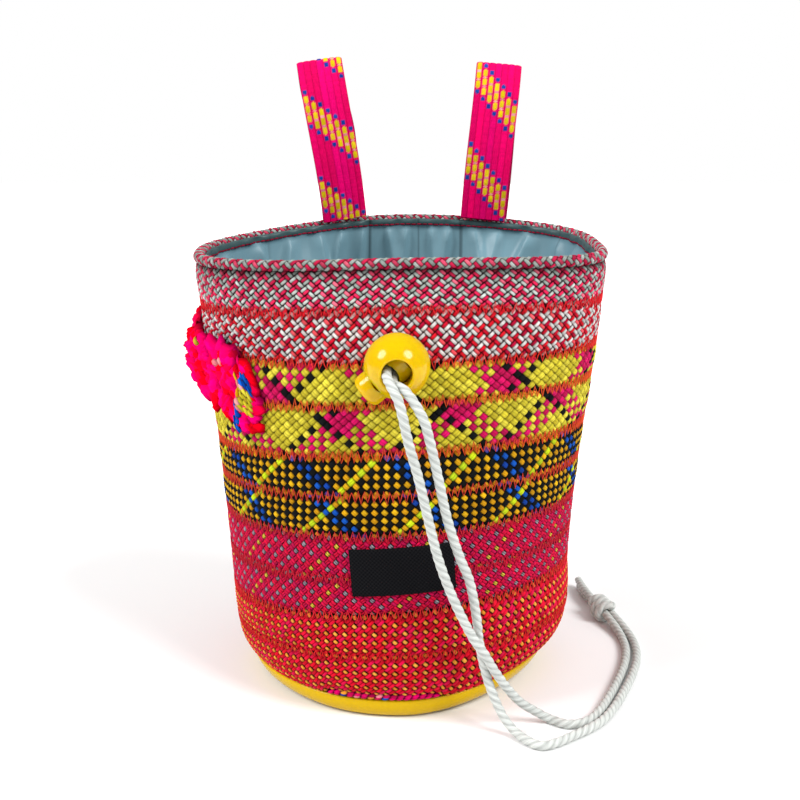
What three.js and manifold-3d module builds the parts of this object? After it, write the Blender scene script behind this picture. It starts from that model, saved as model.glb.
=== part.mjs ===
// Chalk bag sewn from ten rings of flattened rope sheath, with a lining, a vinyl base, two belt
// loops, a ruched brush loop and a drawcord with a ball lock.
// Millimetres, +Z up. The origin is the middle of the base on the floor, and the front faces -Y.
// Angles round the bag run from 0 at the front through 90 degrees at the right, +X.
import * as THREE from 'three';
import { mergeVertices } from 'three/addons/utils/BufferGeometryUtils.js';
import Module from 'manifold-3d';

const wasm = await Module();
wasm.setup();

const { lerp, smoothstep, degToRad: radians, radToDeg: degrees } = THREE.MathUtils;
const count = (number) => [...Array(number).keys()];
const table = (columns, rows) =>
  rows.map((row) => Object.fromEntries(columns.map((column, i) => [column, row[i]])));

// Driving dimensions
const GAP = 0.3; // clearance between neighbouring pieces
const SEGMENTS = 48; // facets round the bag
const BAND_WALL = 2; // flattened sheath, two layers thick
const BAND_BULGE = 0.5; // a band's middle stands this far out of the wall line
const BAND_EDGE = 0.6; // its sewn edges are pulled in by this much
const ROLL_RADIUS = 1.8;
const ROLL_INSET = 1.2;
const ROLL_SIDES = 6;

// Plan of the wall line at each height: reach to each side, and how square each quarter is (2 is round)
const SECTIONS = table(
  ['z', 'left', 'right', 'front', 'back', 'frontLeft', 'frontRight', 'backLeft', 'backRight'],
  [
    [0, 51.5, 51.8, 53.4, 52, 2, 2, 2, 2],
    [6, 55, 55.8, 56, 55.5, 2, 2, 2, 2],
    [14, 58.8, 59.9, 58.9, 59, 2, 2, 2, 2],
    [26, 60.4, 61.6, 61.2, 61.5, 2, 2, 2, 2],
    [45, 61.6, 61.4, 61.8, 62, 2, 2, 2, 2],
    [80, 64.4, 64, 58.5, 61, 2, 2.1, 2, 2.1],
    [120, 68, 68.4, 54, 58, 2.2, 2.5, 1.95, 2.4],
    [153, 71.2, 70.4, 50, 55.5, 2.6, 3.3, 1.85, 3],
    [162, 71.8, 71, 49, 55, 2.6, 3.3, 1.85, 3],
  ],
);

// Seams from the mouth down, by their height at each side of the bag
const SEAMS = table(
  ['front', 'right', 'back', 'left'],
  [
    [154.5, 155.4, 161, 153.6],
    [138.4, 138.9, 142, 135.7],
    [121.6, 123.7, 124.5, 120.9],
    [108.8, 112.3, 111, 105.4],
    [93.1, 94.9, 91.5, 87.6],
    [79.6, 82.4, 79.5, 75.8],
    [66.6, 68.8, 65.5, 62.4],
    [52.9, 56, 51.5, 47.5],
    [40.8, 43.6, 37.5, 32.8],
    [25.6, 25.8, 21.5, 19.5],
    [7.4, 5.4, 4.8, 5.4],
  ],
);
const MOUTH = SEAMS[0];
const BASE_SEAM = SEAMS.at(-1);

// Vinyl base: its plan is the wall line at one height, and its section runs from the middle of the
// underside to the sewn edge and back inside. The edge's own height follows the seam.
const BASE_PLAN = 6.5;
const BASE_UNDERSIDE = table(['z', 'inset'], [[0, 5.4], [0.5, 3.2], [1.6, 2], [3.4, 1.1]]);
const BASE_LIP = 0.4; // inset of the sewn edge's outer face
const BASE_WALL = 2;
const BASE_INSIDE = table(['z', 'inset'], [[3, 2.9], [BASE_WALL, 6]]);

// Lining: a cup whose floor turns up round a corner and whose mouth has a turned hem
const LINING_WALL = 1;
const LINING_INSET = 3; // from the wall line to the lining's outer face
const LINING_BELOW_MOUTH = 1.5;
const LINING_FLOOR = BASE_WALL + 2 * GAP;
const LINING_CORNER = table(['up', 'inset'], [[0, 6], [2, 1.5]]);
const LINING_RINGS = [8.6, 40, 75, 105, 132]; // heights of the wall's rings below the hem
const HEM_DEPTH = 3;
const FOLD_FADE = { low: 8, full: 40, held: 16 }; // folds grow up the wall and are held below the hem
const LINING_FOLDS = table(
  ['angle', 'depth', 'width'], // where each fold stands in from the wall, how far, and its half width
  [
    [40, 2.2, 16],
    [95, 3, 14],
    [135, 2.4, 12],
    [170, 2.8, 13],
    [195, 3.2, 12],
    [232, 2.6, 14],
    [275, 3, 15],
    [325, 2.2, 16],
  ],
);

// The short magenta strip above the base, in degrees round the front
const HEM_STRIP = { from: -29, to: 17, fade: 7, height: 2.2, trim: 2.5, steps: 14 };

// Belt loops: place on the mouth, lean to the left and height above the mouth. The tape's side
// profile is given out from the wall and as a share of that height, or in millimetres below the mouth.
const LOOP_WIDTH = 17.2;
const LOOP_THICK = 1.8;
const LOOP_TWIST = 0.7; // share of the wall's turn that the tape has lost at its top
const LOOP_STEPS = 30;
const BELT_LOOPS = [
  { name: 'belt_loop_left', angle: 204, lean: 7.8, height: 59.4 },
  { name: 'belt_loop_right', angle: 148, lean: -4.8, height: 57.4 },
];
const LOOP_BELOW = table(['out', 'up'], [[3, -15], [2.5, -8], [2.2, 0]]);
const LOOP_ABOVE = table(
  ['out', 'share'],
  [
    [4.4, 0.22],
    [5.6, 0.5],
    [4.4, 0.8],
    [0.9, 0.98],
    [-0.9, 1],
    [-2.7, 0.98],
    [-6.2, 0.8],
    [-7.2, 0.5],
    [-6.4, 0.22],
    [-5, -0.014],
  ],
);

// Ruched brush loop on the left side: distance of its inner face from the wall, and its two edges
const BRUSH_THICK = 1.5;
const BRUSH_ROWS = 4;
const BRUSH_STEPS = 18;
const BRUSH_FOLDS = table(
  ['angle', 'out', 'low', 'high'],
  [
    [-100, 0.9, 119, 128],
    [-95, 4.2, 114.5, 129.5],
    [-89, 6.4, 111.5, 128.5],
    [-82, 6.8, 108, 126.5],
    [-75, 6, 104, 124],
    [-69, 4.4, 99.5, 121.5],
    [-63, 5.4, 95.5, 121],
    [-57, 5.6, 94.5, 119],
    [-52, 4, 95.5, 115],
    [-47.5, 0.9, 98, 110],
  ],
);

// Label on the front
const LABEL = { width: 33, height: 15.4, thick: 0.8, out: 0.85, x: 0.8, z: 55.5, turn: 4.5, steps: 8 };

// Ball lock: the button slides along its own axis, down to the left
const BALL_RADIUS = 10.25;
const BALL_CENTRE = new THREE.Vector3(-0.9, -65.2, 123.2);
const BUTTON_AXIS = new THREE.Vector3(-0.76, 0, -0.65).normalize();
const HOLE_AXIS = new THREE.Vector3(0, -1, 0);
const LOCK_SIDE = new THREE.Vector3().crossVectors(BUTTON_AXIS, HOLE_AXIS);
const BUTTON_RADIUS = 5.35;
const BUTTON_REACH = 13.6; // from the ball's centre to the button's end
const BUTTON_ROUND = table(['in', 'back'], [[0, 1.6], [0.5, 0.5], [1.6, 0]]); // edge of the pressed end
const BUTTON_CROWN = 0.3;
const BUTTON_STROKE = 4;
const BUTTON_HEEL = 1.9; // material behind the cords
const BUTTON_CLEARANCE = 0.4;
const BUTTON_SIDES = 24;
const CORD_HOLE_RADIUS = 4.7;
const CORD_HOLE_SIDES = 20;
const BALL_SIDES = 22;
const BALL_RINGS = 14;
const CORD_RADIUS = 1.9;
const CORD_SPACING = 3.9; // between the two strands in the lock
const CORD_SHIFT = 1.1; // the pinched strands sit this far towards the button

// The strands: the stretch through the lock bends down, and the rest hangs and then lies on the floor
const CORD_SIDES = 8;
const FLOOR = 2; // height of a lying strand's middle
const STRANDS = [
  {
    name: 'drawcord_left',
    side: 1,
    bend: [
      [-3, -77.2, 123],
      [-2.9, -80.2, 119.6],
      [-1.6, -81, 115],
    ],
    hang: [
      [-1.4, -81, 114.3],
      [0.7, -80.4, 108.6],
      [4, -78.4, 96.6],
      [7.8, -75.8, 83.3],
      [11.9, -73.2, 66.3],
      [18, -70.8, 49],
      [25, -68.6, 31],
      [28.8, -66.6, 24],
      [32.8, -63.8, 17.6],
      [38, -60, 10.2],
      [43.4, -57.2, 4.4],
      [48.6, -57, FLOOR],
      [53.8, -59.8, FLOOR],
      [59.4, -59.6, FLOOR],
      [64.6, -53.6, FLOOR],
      [71.2, -42.8, FLOOR],
      [77.4, -29.2, FLOOR],
      [81.6, -13.2, FLOOR],
      [83.4, 1.4, FLOOR],
      [83.2, 14.8, FLOOR + 0.6],
      [82.3, 24.8, FLOOR + 1.8],
      [81.2, 32.2, FLOOR + 2.6],
    ],
  },
  {
    name: 'drawcord_right',
    side: -1,
    bend: [
      [0, -76.6, 120],
      [1.9, -79, 116.6],
      [4.1, -80.2, 112.2],
    ],
    hang: [
      [4.5, -80.2, 111.4],
      [7.2, -79.4, 105.4],
      [10.9, -77.4, 96],
      [14.6, -74.6, 82.8],
      [18.6, -70.6, 65.3],
      [23, -66.8, 47.4],
      [25.8, -63.8, 30],
      [27.8, -63.2, 19.6],
      [30.2, -63.8, 12.6],
      [32.6, -65, 7.6],
      [35.8, -67.2, 3.6],
      [40.2, -71.4, FLOOR],
      [46, -75.2, FLOOR],
      [53.4, -73, FLOOR],
      [61.6, -66.8, FLOOR],
      [69.4, -59, FLOOR],
      [79, -44.2, FLOOR],
      [85.6, -25.2, FLOOR],
      [88.6, -5.2, FLOOR],
      [88.6, 8.8, FLOOR],
      [87.2, 21.8, FLOOR + 1.4],
      [85.2, 33.2, FLOOR + 2.6],
    ],
  },
];
const LOCK_STEPS = 9;
const HANG_STEPS = 31;
const KNOT = { from: [83.3, 33, 4.6], to: [80.4, 48.2, 4.9], sides: 12 };
const KNOT_PROFILE = table(['share', 'radius'], [[0, 4.2], [0.3, 5], [0.7, 5], [1, 4.2]]);
const TAILS = [
  { name: 'drawcord_tail_left', points: [[78.3, 48.2, 4.4], [76.4, 55.8, 2.6], [75.4, 64.8, FLOOR]] },
  { name: 'drawcord_tail_right', points: [[82.3, 49, 4.4], [81.6, 56.8, 2.6], [79.6, 68.8, FLOOR]] },
];
const TAIL_STEPS = 4;

const finish = (color, roughness, metalness = 0) =>
  new THREE.MeshStandardMaterial({ color, roughness, metalness });
const FINISHES = {
  sheath_band_1: finish(0x9a5a66, 0.85),
  sheath_band_2: finish(0xcc4a4e, 0.85),
  sheath_band_3: finish(0xc9b93a, 0.85),
  sheath_band_4: finish(0xc9b93a, 0.85),
  sheath_band_5: finish(0x4a3a1c, 0.85),
  sheath_band_6: finish(0x4a3a1c, 0.85),
  sheath_band_7: finish(0xb4203e, 0.85),
  sheath_band_8: finish(0xb4203e, 0.85),
  sheath_band_9: finish(0xc23a38, 0.85),
  sheath_band_10: finish(0xc23a38, 0.85),
  rim_roll: finish(0xa45060, 0.85),
  hem_strip: finish(0xd01868, 0.85),
  lining: finish(0x7d8c92, 0.45),
  base: finish(0xd8b400, 0.3),
  belt_loop: finish(0xd8105c, 0.85),
  brush_loop: finish(0xf01850, 0.85),
  label: finish(0x0c0c0e, 0.7),
  lock: finish(0xf5cf00, 0.25),
  cord: finish(0xf0f0ec, 0.8),
};

// Value of a table's column at a height or angle, on a smooth curve through its rows
function along(rows, key, column, at) {
  const last = rows.length - 1;
  if (at <= rows[0][key]) return rows[0][column];
  if (at >= rows[last][key]) return rows[last][column];
  const i = rows.findIndex((row) => row[key] > at) - 1;
  const slope = (k) => {
    const before = rows[Math.max(k - 1, 0)];
    const after = rows[Math.min(k + 1, last)];
    return (after[column] - before[column]) / (after[key] - before[key]);
  };
  const [low, high] = [rows[i], rows[i + 1]];
  const step = high[key] - low[key];
  const t = (at - low[key]) / step;
  const [t2, t3] = [t * t, t * t * t];
  return (
    (2 * t3 - 3 * t2 + 1) * low[column] +
    (t3 - 2 * t2 + t) * step * slope(i) +
    (3 * t2 - 2 * t3) * high[column] +
    (t3 - t2) * step * slope(i + 1)
  );
}

// Point of the wall line at an angle and height
function wallLine(angle, z) {
  const [s, c] = [Math.sin(angle), Math.cos(angle)];
  const [side, end] = [s < 0 ? 'Left' : 'Right', c > 0 ? 'front' : 'back'];
  const width = along(SECTIONS, 'z', side.toLowerCase(), z);
  const depth = along(SECTIONS, 'z', end, z);
  const square = along(SECTIONS, 'z', end + side, z);
  const reach = (Math.abs(s / width) ** square + Math.abs(c / depth) ** square) ** (-1 / square);
  return new THREE.Vector2(reach * s, -reach * c);
}

function wallNormal(angle, z) {
  const nudge = 0.02;
  const run = wallLine(angle + nudge, z).sub(wallLine(angle - nudge, z)).normalize();
  return new THREE.Vector2(run.y, -run.x);
}

// Point at a distance out from the wall line
function offWall(angle, z, out) {
  const p = wallLine(angle, z).addScaledVector(wallNormal(angle, z), out);
  return new THREE.Vector3(p.x, p.y, z);
}

// Height of a seam, on the gentlest curve through its four given heights
function seamHeight({ front, right, back, left }, angle) {
  const middle = (front + right + back + left) / 4;
  const saddle = (front + back - right - left) / 4;
  const tilt = ((front - back) / 2) * Math.cos(angle) + ((right - left) / 2) * Math.sin(angle);
  return middle + tilt + saddle * Math.cos(2 * angle);
}

const positions = (rows) =>
  new THREE.Float32BufferAttribute(rows.flat().flatMap((p) => [p.x, p.y, p.z]), 3);

// Closed mesh from rows of points. Each row closes on itself where ringed, and the rows close on
// the first one. Points that coincide are merged, and triangles that collapse are left out.
function solid(rows, ringed) {
  const wide = rows[0].length;
  const spans = ringed ? wide : wide - 1;
  const index = [];
  rows.forEach((_, r) => {
    const next = (r + 1) % rows.length;
    for (let i = 0; i < spans; i++) {
      const j = (i + 1) % wide;
      const [a, b, c, d] = [r * wide + i, r * wide + j, next * wide + j, next * wide + i];
      index.push(a, b, c, a, c, d);
    }
  });
  if (!ringed) {
    const end = wide - 1;
    for (let r = 1; r < rows.length - 1; r++) {
      index.push(0, r * wide, (r + 1) * wide);
      index.push(end, (r + 1) * wide + end, r * wide + end);
    }
  }
  const loose = new THREE.BufferGeometry();
  loose.setAttribute('position', positions(rows));
  loose.setIndex(index);
  return facingOut(mergeVertices(loose, 1e-3));
}

function facingOut(geometry) {
  const at = geometry.getAttribute('position');
  const corner = [0, 1, 2].map(() => new THREE.Vector3());
  const kept = [];
  let volume = 0;
  const index = geometry.getIndex().array;
  for (let i = 0; i < index.length; i += 3) {
    const [a, b, c] = [index[i], index[i + 1], index[i + 2]];
    if (a === b || b === c || c === a) continue;
    kept.push(a, b, c);
    [a, b, c].forEach((k, n) => corner[n].fromBufferAttribute(at, k));
    volume += corner[0].dot(corner[1].cross(corner[2]));
  }
  if (volume < 0) kept.reverse();
  geometry.setIndex(kept);
  geometry.computeVertexNormals();
  return geometry;
}

const turns = count(SEGMENTS).map((i) => (2 * Math.PI * i) / SEGMENTS);

// Ring whose section is a list of functions from an angle to a point
const ringSolid = (section) => solid(section.map((place) => turns.map(place)), true);

function mesh(name, geometry, material) {
  const piece = new THREE.Mesh(geometry, material);
  piece.name = name;
  return piece;
}

// Share of the hem strip's height at an angle, fading out at its ends, with room kept past them
function hemShare(angle, room = 0) {
  const at = degrees(Math.atan2(Math.sin(angle), Math.cos(angle)));
  const [from, to] = [HEM_STRIP.from - room, HEM_STRIP.to + room];
  const rise = smoothstep(at, from, from + HEM_STRIP.fade);
  const fall = smoothstep(at, to - HEM_STRIP.fade, to);
  return rise * (1 - fall);
}

function sheathBand(number) {
  const isTop = number === 1;
  const isBottom = number === SEAMS.length - 1;
  const rollHeight = 2 * ROLL_RADIUS + GAP / 2;
  const top = (a) => seamHeight(SEAMS[number - 1], a) - GAP / 2 - (isTop ? rollHeight : 0);
  const hem = (a) => (isBottom ? hemShare(a, 360 / SEGMENTS) * (HEM_STRIP.height + 2 * GAP) : 0);
  const bottom = (a) => seamHeight(SEAMS[number], a) + GAP / 2 + hem(a);
  const place = (share, out) => (a) => offWall(a, lerp(bottom(a), top(a), share), out);
  return ringSolid([
    place(0, -BAND_EDGE),
    place(0.5, BAND_BULGE),
    place(1, -BAND_EDGE),
    place(1, -BAND_WALL),
    place(0, -BAND_WALL),
  ]);
}

function rimRoll() {
  const section = count(ROLL_SIDES).map((i) => {
    const turn = (2 * Math.PI * i) / ROLL_SIDES;
    const out = ROLL_RADIUS * Math.cos(turn) - ROLL_INSET;
    const up = ROLL_RADIUS * Math.sin(turn);
    return (a) => {
      const middle = seamHeight(MOUTH, a) - ROLL_RADIUS;
      return offWall(a, middle, out).setZ(middle + up);
    };
  });
  return ringSolid(section);
}

function liningFold(angle) {
  const at = THREE.MathUtils.euclideanModulo(degrees(angle), 360);
  return LINING_FOLDS.reduce((sum, { angle: middle, depth, width }) => {
    const apart = (at - middle) / width;
    return sum + depth * Math.exp(-apart * apart);
  }, 0);
}

function lining() {
  const top = (a) => seamHeight(MOUTH, a) - LINING_BELOW_MOUTH;
  const hem = (a) => top(a) - HEM_DEPTH;
  const fold = (a, z) => {
    const grown = smoothstep(z, FOLD_FADE.low, FOLD_FADE.full);
    const held = smoothstep(z, hem(a) - FOLD_FADE.held, hem(a));
    return liningFold(a) * grown * (1 - held);
  };
  const wall = (a, z, inset) => offWall(a, z, -LINING_INSET - inset - fold(a, z));
  const corner = (inset) => LINING_CORNER.map((row) => (a) =>
    offWall(a, BASE_PLAN, -LINING_INSET - row.inset - inset).setZ(LINING_FLOOR + row.up + inset));
  const sides = (inset) => [
    ...LINING_RINGS.map((z) => (a) => wall(a, z, inset)),
    (a) => wall(a, hem(a), inset),
  ];
  return ringSolid([
    () => new THREE.Vector3(0, 0, LINING_FLOOR),
    ...corner(0),
    ...sides(0),
    (a) => wall(a, top(a), 0),
    (a) => wall(a, top(a), 2 * LINING_WALL),
    (a) => wall(a, hem(a), 2 * LINING_WALL),
    ...sides(LINING_WALL).reverse(),
    ...corner(LINING_WALL).reverse(),
    () => new THREE.Vector3(0, 0, LINING_FLOOR + LINING_WALL),
  ]);
}

function base() {
  const edge = (a) => seamHeight(BASE_SEAM, a) - GAP / 2;
  const place = ({ z, inset }) => (a) => offWall(a, BASE_PLAN, -inset).setZ(z);
  return ringSolid([
    () => new THREE.Vector3(0, 0, 0),
    ...BASE_UNDERSIDE.map(place),
    (a) => offWall(a, BASE_PLAN, -BASE_LIP).setZ(edge(a)),
    (a) => offWall(a, BASE_PLAN, -BASE_WALL).setZ(edge(a)),
    ...BASE_INSIDE.map(place),
    () => new THREE.Vector3(0, 0, BASE_WALL),
  ]);
}

function hemStrip() {
  const { from, to, trim, height, steps } = HEM_STRIP;
  const angles = count(steps + 1).map((i) => radians(lerp(from + trim, to - trim, i / steps)));
  const low = (a) => seamHeight(BASE_SEAM, a) + GAP / 2;
  const place = (share, out) => (a) => offWall(a, low(a) + share * height * hemShare(a), out);
  const section = [
    place(0, -BAND_EDGE),
    place(0.5, 0),
    place(1, -BAND_EDGE),
    place(1, -BAND_WALL),
    place(0, -BAND_WALL),
  ];
  return solid(section.map((row) => angles.map(row)), false);
}

// Closed mesh of a sheet from the rows of its two faces
function solidSheet(inner, outer) {
  const rows = [...inner, ...outer.toReversed()];
  const wide = rows[0].length;
  const [total, half] = [rows.length, inner.length];
  const index = [];
  const quad = (a, b, c, d) => index.push(a, b, c, a, c, d);
  for (let r = 0; r < total; r++) {
    const next = (r + 1) % total;
    for (let i = 0; i < wide - 1; i++) {
      quad(r * wide + i, r * wide + i + 1, next * wide + i + 1, next * wide + i);
    }
  }
  const end = wide - 1;
  for (let r = 0; r < half - 1; r++) {
    const facing = total - 1 - r;
    quad(r * wide, (r + 1) * wide, (facing - 1) * wide, facing * wide);
    quad(r * wide + end, facing * wide + end, (facing - 1) * wide + end, (r + 1) * wide + end);
  }
  const geometry = new THREE.BufferGeometry();
  geometry.setAttribute('position', positions(rows));
  geometry.setIndex(index);
  return facingOut(geometry);
}

function beltLoop({ name, angle, lean, height }) {
  const turn = radians(angle);
  const mouth = seamHeight(MOUTH, turn);
  const root = offWall(turn, mouth, 0);
  const wallTurn = wallNormal(turn, mouth).angle();
  const profile = [
    ...LOOP_BELOW.map(({ out, up }) => new THREE.Vector2(out, up)),
    ...LOOP_ABOVE.map(({ out, share }) => new THREE.Vector2(out, share * height)),
  ];
  const line = new THREE.SplineCurve(profile).getSpacedPoints(LOOP_STEPS);
  const [leanUp, leanSide] = [Math.cos(radians(lean)), Math.sin(radians(lean))];
  const place = (i, share, layer) => {
    const here = line[i];
    const before = line[Math.max(i - 1, 0)];
    const run = line[Math.min(i + 1, LOOP_STEPS)].clone().sub(before).normalize();
    const twist = LOOP_TWIST * smoothstep(here.y, 0, height);
    const facing = lerp(wallTurn, Math.PI / 2, twist);
    const outward = new THREE.Vector3(Math.cos(facing), Math.sin(facing), 0);
    const sideways = new THREE.Vector3(-outward.y, outward.x, 0);
    const upward = new THREE.Vector3(0, 0, leanUp).addScaledVector(sideways, leanSide);
    const across = sideways.clone().multiplyScalar(leanUp).setZ(-leanSide);
    return root.clone()
      .addScaledVector(outward, here.x - (layer * run.y * LOOP_THICK) / 2)
      .addScaledVector(upward, here.y + (layer * run.x * LOOP_THICK) / 2)
      .addScaledVector(across, share * LOOP_WIDTH);
  };
  const face = (layer) => line.map((_, i) => [-0.5, 0.5].map((share) => place(i, share, layer)));
  return mesh(name, solidSheet(face(-1), face(1)), FINISHES.belt_loop);
}

function brushLoop() {
  const [first, last] = [BRUSH_FOLDS[0].angle, BRUSH_FOLDS.at(-1).angle];
  const columns = count(BRUSH_STEPS + 1).map((i) => lerp(first, last, i / BRUSH_STEPS));
  const shares = count(BRUSH_ROWS).map((i) => i / (BRUSH_ROWS - 1));
  const fold = (column, angle) => along(BRUSH_FOLDS, 'angle', column, angle);
  const place = (angle, share, thick) => {
    const z = lerp(fold('low', angle), fold('high', angle), share);
    return offWall(radians(angle), z, fold('out', angle) + thick);
  };
  const face = (thick) => shares.map((share) => columns.map((angle) => place(angle, share, thick)));
  return solidSheet(face(0), face(BRUSH_THICK));
}

function label() {
  const { width, height, thick, out, x, z, turn, steps } = LABEL;
  const middle = new THREE.Vector2();
  const place = (u, v, layer) => {
    const flat = new THREE.Vector2(u * width, v * height).rotateAround(middle, radians(turn));
    const up = z + flat.y;
    const radius = wallLine(0, up).length();
    return offWall(Math.asin((x + flat.x) / radius), up, out + layer * thick);
  };
  const across = count(steps + 1).map((i) => i / steps - 0.5);
  const face = (layer) => [-0.5, 0, 0.5].map((v) => across.map((u) => place(u, v, layer)));
  return solidSheet(face(0), face(1));
}

// Geometry with only its corners kept, each once
function welded(geometry) {
  geometry.deleteAttribute('normal');
  geometry.deleteAttribute('uv');
  return facingOut(mergeVertices(geometry, 1e-4));
}

function toManifold(geometry) {
  const closed = welded(geometry);
  return new wasm.Manifold(new wasm.Mesh({
    numProp: 3,
    vertProperties: closed.getAttribute('position').array,
    triVerts: new Uint32Array(closed.getIndex().array),
  }));
}

function fromManifold(body) {
  const made = body.getMesh();
  const geometry = new THREE.BufferGeometry();
  geometry.setAttribute('position', new THREE.BufferAttribute(made.vertProperties, 3));
  geometry.setIndex(new THREE.BufferAttribute(made.triVerts, 1));
  geometry.computeVertexNormals();
  return geometry;
}

// In the lock's own frame Y is the button's axis and Z is the cord hole's axis
const HEEL_TOP = CORD_SHIFT - CORD_RADIUS - BUTTON_CLEARANCE;
const BUTTON_INNER = HEEL_TOP - BUTTON_HEEL;
const BORE_BOTTOM = BUTTON_INNER - BUTTON_STROKE - BUTTON_CLEARANCE;

function lockBall() {
  const across = BALL_RADIUS * 2;
  const boreRadius = BUTTON_RADIUS + BUTTON_CLEARANCE;
  const bore = new THREE.CylinderGeometry(boreRadius, boreRadius, across, BUTTON_SIDES);
  bore.translate(0, BORE_BOTTOM + across / 2, 0);
  const hole = new THREE.CylinderGeometry(CORD_HOLE_RADIUS, CORD_HOLE_RADIUS, across, CORD_HOLE_SIDES);
  hole.rotateX(Math.PI / 2);
  const ball = new THREE.SphereGeometry(BALL_RADIUS, BALL_SIDES, BALL_RINGS);
  return fromManifold(toManifold(ball).subtract(toManifold(bore)).subtract(toManifold(hole)));
}

function lockButton() {
  const profile = [
    new THREE.Vector2(0, BUTTON_INNER),
    new THREE.Vector2(BUTTON_RADIUS, BUTTON_INNER),
    ...BUTTON_ROUND.map((row) => new THREE.Vector2(BUTTON_RADIUS - row.in, BUTTON_REACH - row.back)),
    new THREE.Vector2(0, BUTTON_REACH + BUTTON_CROWN),
  ];
  const slotTop = CORD_SHIFT + CORD_RADIUS + BUTTON_STROKE + BUTTON_CLEARANCE;
  const slotWidth = CORD_SPACING + 2 * (CORD_RADIUS + BUTTON_CLEARANCE);
  const slot = new THREE.BoxGeometry(slotWidth, slotTop - HEEL_TOP, 4 * BUTTON_RADIUS);
  slot.translate(0, (slotTop + HEEL_TOP) / 2, 0);
  const body = new THREE.LatheGeometry(profile, BUTTON_SIDES);
  return fromManifold(toManifold(body).subtract(toManifold(slot)));
}

function lock() {
  const placed = new THREE.Group();
  placed.position.copy(BALL_CENTRE);
  placed.setRotationFromMatrix(new THREE.Matrix4().makeBasis(LOCK_SIDE, BUTTON_AXIS, HOLE_AXIS));
  placed.add(mesh('lock_ball', lockBall(), FINISHES.lock));
  placed.add(mesh('lock_button', lockButton(), FINISHES.lock));
  return placed;
}

function cordTube(points, steps) {
  const corners = count(CORD_SIDES).map((i) => {
    const turn = (2 * Math.PI * (i + 0.5)) / CORD_SIDES;
    return new THREE.Vector2(CORD_RADIUS * Math.cos(turn), CORD_RADIUS * Math.sin(turn));
  });
  const path = new THREE.CatmullRomCurve3(points.map((p) => new THREE.Vector3(...p)), false, 'centripetal');
  return welded(new THREE.ExtrudeGeometry(new THREE.Shape(corners), { steps, extrudePath: path }));
}

// Where a strand crosses the lock, at a distance in front of the bag
function inLock(side, y) {
  const p = BALL_CENTRE.clone()
    .addScaledVector(BUTTON_AXIS, CORD_SHIFT)
    .addScaledVector(LOCK_SIDE, (side * CORD_SPACING) / 2);
  return [p.x, y, p.z];
}

function drawcord() {
  const behind = wallLine(0, BALL_CENTRE.z).y - BAND_BULGE - GAP;
  const mouth = BALL_CENTRE.y - BALL_RADIUS + CORD_RADIUS;
  const strands = STRANDS.flatMap(({ name, side, bend, hang }) => {
    const through = [behind, BALL_CENTRE.y, mouth].map((y) => inLock(side, y));
    return [
      mesh(`${name}_lock`, cordTube([...through, ...bend], LOCK_STEPS), FINISHES.cord),
      mesh(name, cordTube(hang, HANG_STEPS), FINISHES.cord),
    ];
  });
  const tails = TAILS.map(({ name, points }) => mesh(name, cordTube(points, TAIL_STEPS), FINISHES.cord));
  return [...strands, ...tails, knot()];
}

function knot() {
  const [from, to] = [new THREE.Vector3(...KNOT.from), new THREE.Vector3(...KNOT.to)];
  const length = from.distanceTo(to);
  const profile = [
    new THREE.Vector2(0, 0),
    ...KNOT_PROFILE.map(({ share, radius }) => new THREE.Vector2(radius, share * length)),
    new THREE.Vector2(0, length),
  ];
  const piece = mesh('drawcord_knot', welded(new THREE.LatheGeometry(profile, KNOT.sides)), FINISHES.cord);
  piece.position.copy(from);
  piece.quaternion.setFromUnitVectors(new THREE.Vector3(0, 1, 0), to.clone().sub(from).normalize());
  return piece;
}

const bag = new THREE.Group();
for (let number = 1; number < SEAMS.length; number++) {
  const name = `sheath_band_${number}`;
  bag.add(mesh(name, sheathBand(number), FINISHES[name]));
}
bag.add(mesh('rim_roll', rimRoll(), FINISHES.rim_roll));
bag.add(mesh('lining', lining(), FINISHES.lining));
bag.add(mesh('base', base(), FINISHES.base));
bag.add(mesh('hem_strip', hemStrip(), FINISHES.hem_strip));
bag.add(...BELT_LOOPS.map(beltLoop));
bag.add(mesh('brush_loop', brushLoop(), FINISHES.brush_loop));
bag.add(mesh('label', label(), FINISHES.label));
bag.add(lock());
bag.add(...drawcord());

export default bag;
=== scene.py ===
import math

import bpy
import numpy as np
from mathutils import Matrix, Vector


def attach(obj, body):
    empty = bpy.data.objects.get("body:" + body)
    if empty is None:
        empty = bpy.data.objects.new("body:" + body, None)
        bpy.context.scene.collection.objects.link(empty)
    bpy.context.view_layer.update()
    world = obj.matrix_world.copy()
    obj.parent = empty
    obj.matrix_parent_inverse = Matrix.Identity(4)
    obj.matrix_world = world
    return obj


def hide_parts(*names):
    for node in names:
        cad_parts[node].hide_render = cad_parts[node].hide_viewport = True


# Chalk bag sewn from flat rope sheath: the weave, plies, folds and finishes of its pieces.
# Lengths are millimetres and the frame is the part's own: the front faces -Y, and angles round
# the bag run from 0 at the front through 90 degrees at the right.
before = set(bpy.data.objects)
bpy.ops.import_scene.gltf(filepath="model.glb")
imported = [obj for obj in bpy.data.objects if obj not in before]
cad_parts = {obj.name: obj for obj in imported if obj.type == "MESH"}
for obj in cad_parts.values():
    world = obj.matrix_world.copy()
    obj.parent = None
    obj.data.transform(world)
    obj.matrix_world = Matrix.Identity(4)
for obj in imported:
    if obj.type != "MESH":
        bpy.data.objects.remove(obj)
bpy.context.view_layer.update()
scene = bpy.context.scene
chance = np.random.default_rng(20)
MM = 0.001

# Camera
CAMERA_PLACE = (0, -428.6, 194)
CAMERA_TILT = 12.64
CAMERA_LENS = 54.45
SENSOR = 36

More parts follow.
